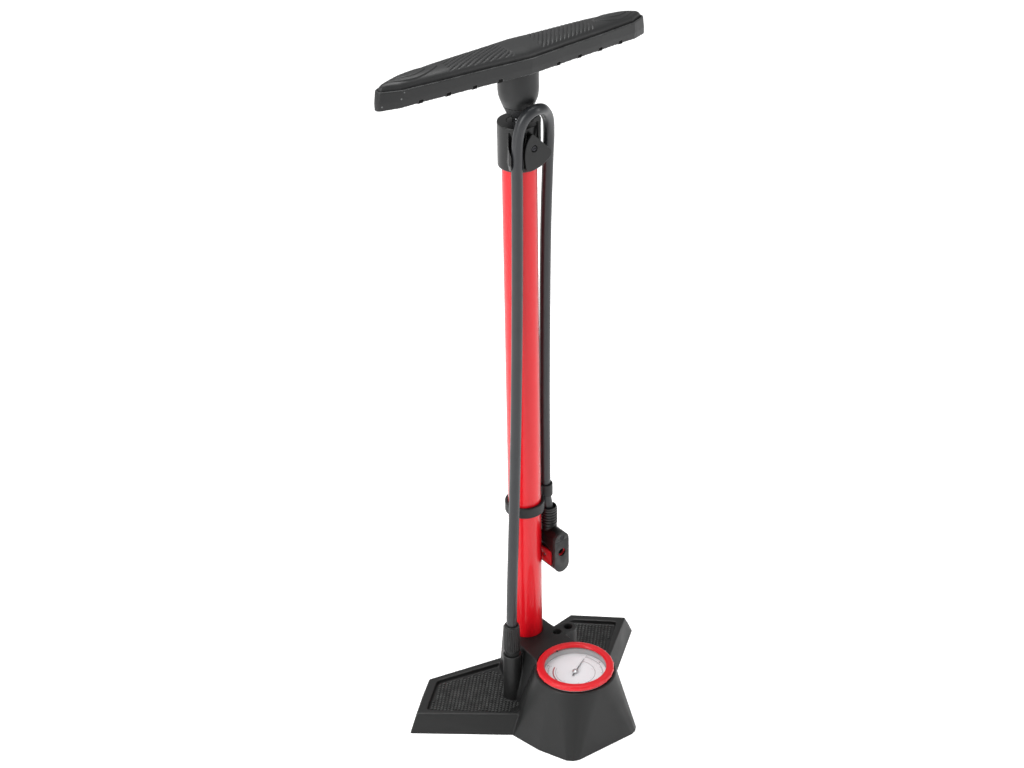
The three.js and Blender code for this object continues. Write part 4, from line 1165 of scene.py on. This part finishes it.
rod()
bumper()
socket_cone()
handle_body()
finger_ribs()
grip()

# ---------------------------------------------------------------- small CAD pieces that show as they are
NODE_LOOKS = {
    "rubber": ["centre_foot", "block_oring", "rod_wiper", "piston_seal", "check_ball"],
    "black_plastic": ["valve_block", "piston_head"],
    "grey_plastic": ["rod_bushing"],
    "brass": ["gauge_stem", "bourdon_tube", "movement_plate", "sector_gear", "needle_pinion"],
    "dark_steel": ["hook_screw", "mouth_screw"],
    "steel": ["check_spring", "block_screw_1", "block_screw_2", "block_screw_3", "lever_pin",
              "rod_insert_low", "rod_insert_top", "piston_bolt", "handle_washer", "handle_bolt"],
}
for look, names in NODE_LOOKS.items():
    for name in names:
        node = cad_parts[name]
        paint(node, look)
        shade(node, 40)


# ---------------------------------------------------------------- studio
FLOOR_REACH = 60000


def studio():
    corners = [(x * FLOOR_REACH, y * FLOOR_REACH, 0) for x, y in ((-1, -1), (1, -1), (1, 1), (-1, 1))]
    floor = make("floor", corners, [(0, 1, 2, 3)])
    material, tree, shader = new_material("studio_floor")
    shader.inputs["Base Color"].default_value = (0.93, 0.93, 0.93, 1)
    shader.inputs["Emission Color"].default_value = (1, 1, 1, 1)
    shader.inputs["Emission Strength"].default_value = 0.45
    shader.inputs["Roughness"].default_value = 0.9
    shader.inputs["Specular IOR Level"].default_value = 0.1
    floor.data.materials.append(material)

    world = bpy.data.worlds.new("studio")
    world.use_nodes = True
    tree = world.node_tree
    lighting = tree.nodes["Background"]
    backdrop = tree.nodes.new("ShaderNodeBackground")
    for background, strength in ((lighting, 0.4), (backdrop, 0.9)):
        background.inputs["Color"].default_value = (1, 1, 1, 1)
        background.inputs["Strength"].default_value = strength
    seen = tree.nodes.new("ShaderNodeLightPath")
    mix = tree.nodes.new("ShaderNodeMixShader")
    tree.links.new(seen.outputs["Is Camera Ray"], mix.inputs["Fac"])
    tree.links.new(lighting.outputs["Background"], mix.inputs[1])
    tree.links.new(backdrop.outputs["Background"], mix.inputs[2])
    tree.links.new(mix.outputs["Shader"], tree.nodes["World Output"].inputs["Surface"])
    bpy.context.scene.world = world

    def softbox(name, spot, aim, size_x, size_y, power):
        light = bpy.data.lights.new(name, "AREA")
        light.shape = "RECTANGLE"
        light.size = size_x
        light.size_y = size_y
        light.energy = power
        lamp = add(name, light)
        lamp.location = spot
        lamp.rotation_euler = (Vector(aim) - Vector(spot)).to_track_quat("-Z", "Y").to_euler()

    softbox("key", (-2.4, -0.3, 1.5), (0, 0, 0.35), 0.35, 1.8, 42)
    softbox("fill", (1.5, -2.2, 1.3), (0, 0, 0.35), 0.2, 1.8, 20)
    softbox("top", (0, 0.6, 2.6), (0, 0, 0.3), 1.4, 1.4, 42)


def camera():
    """The camera's place and turn: pan about z, tilt below the horizon, and a slight roll."""
    pan, tilt, roll = math.radians(-35.79), math.radians(30.72), math.radians(-1.042)
    back = Vector((math.sin(pan) * math.cos(tilt), -math.cos(pan) * math.cos(tilt), math.sin(tilt)))
    level = Vector((math.cos(pan), math.sin(pan), 0))
    upright = back.cross(level)
    right = level * math.cos(roll) + upright * math.sin(roll)
    up = upright * math.cos(roll) - level * math.sin(roll)
    lens = bpy.data.cameras.new("camera")
    lens.lens = 85.98
    lens.sensor_width = 36
    eye = add("camera", lens)
    turn = Matrix((right, up, back)).transposed().to_4x4()
    eye.matrix_world = Matrix.Translation((-1.1698, -1.6051, 1.5346)) @ turn
    bpy.context.scene.camera = eye


studio()
camera()
bpy.context.scene.view_settings.view_transform = "Standard"
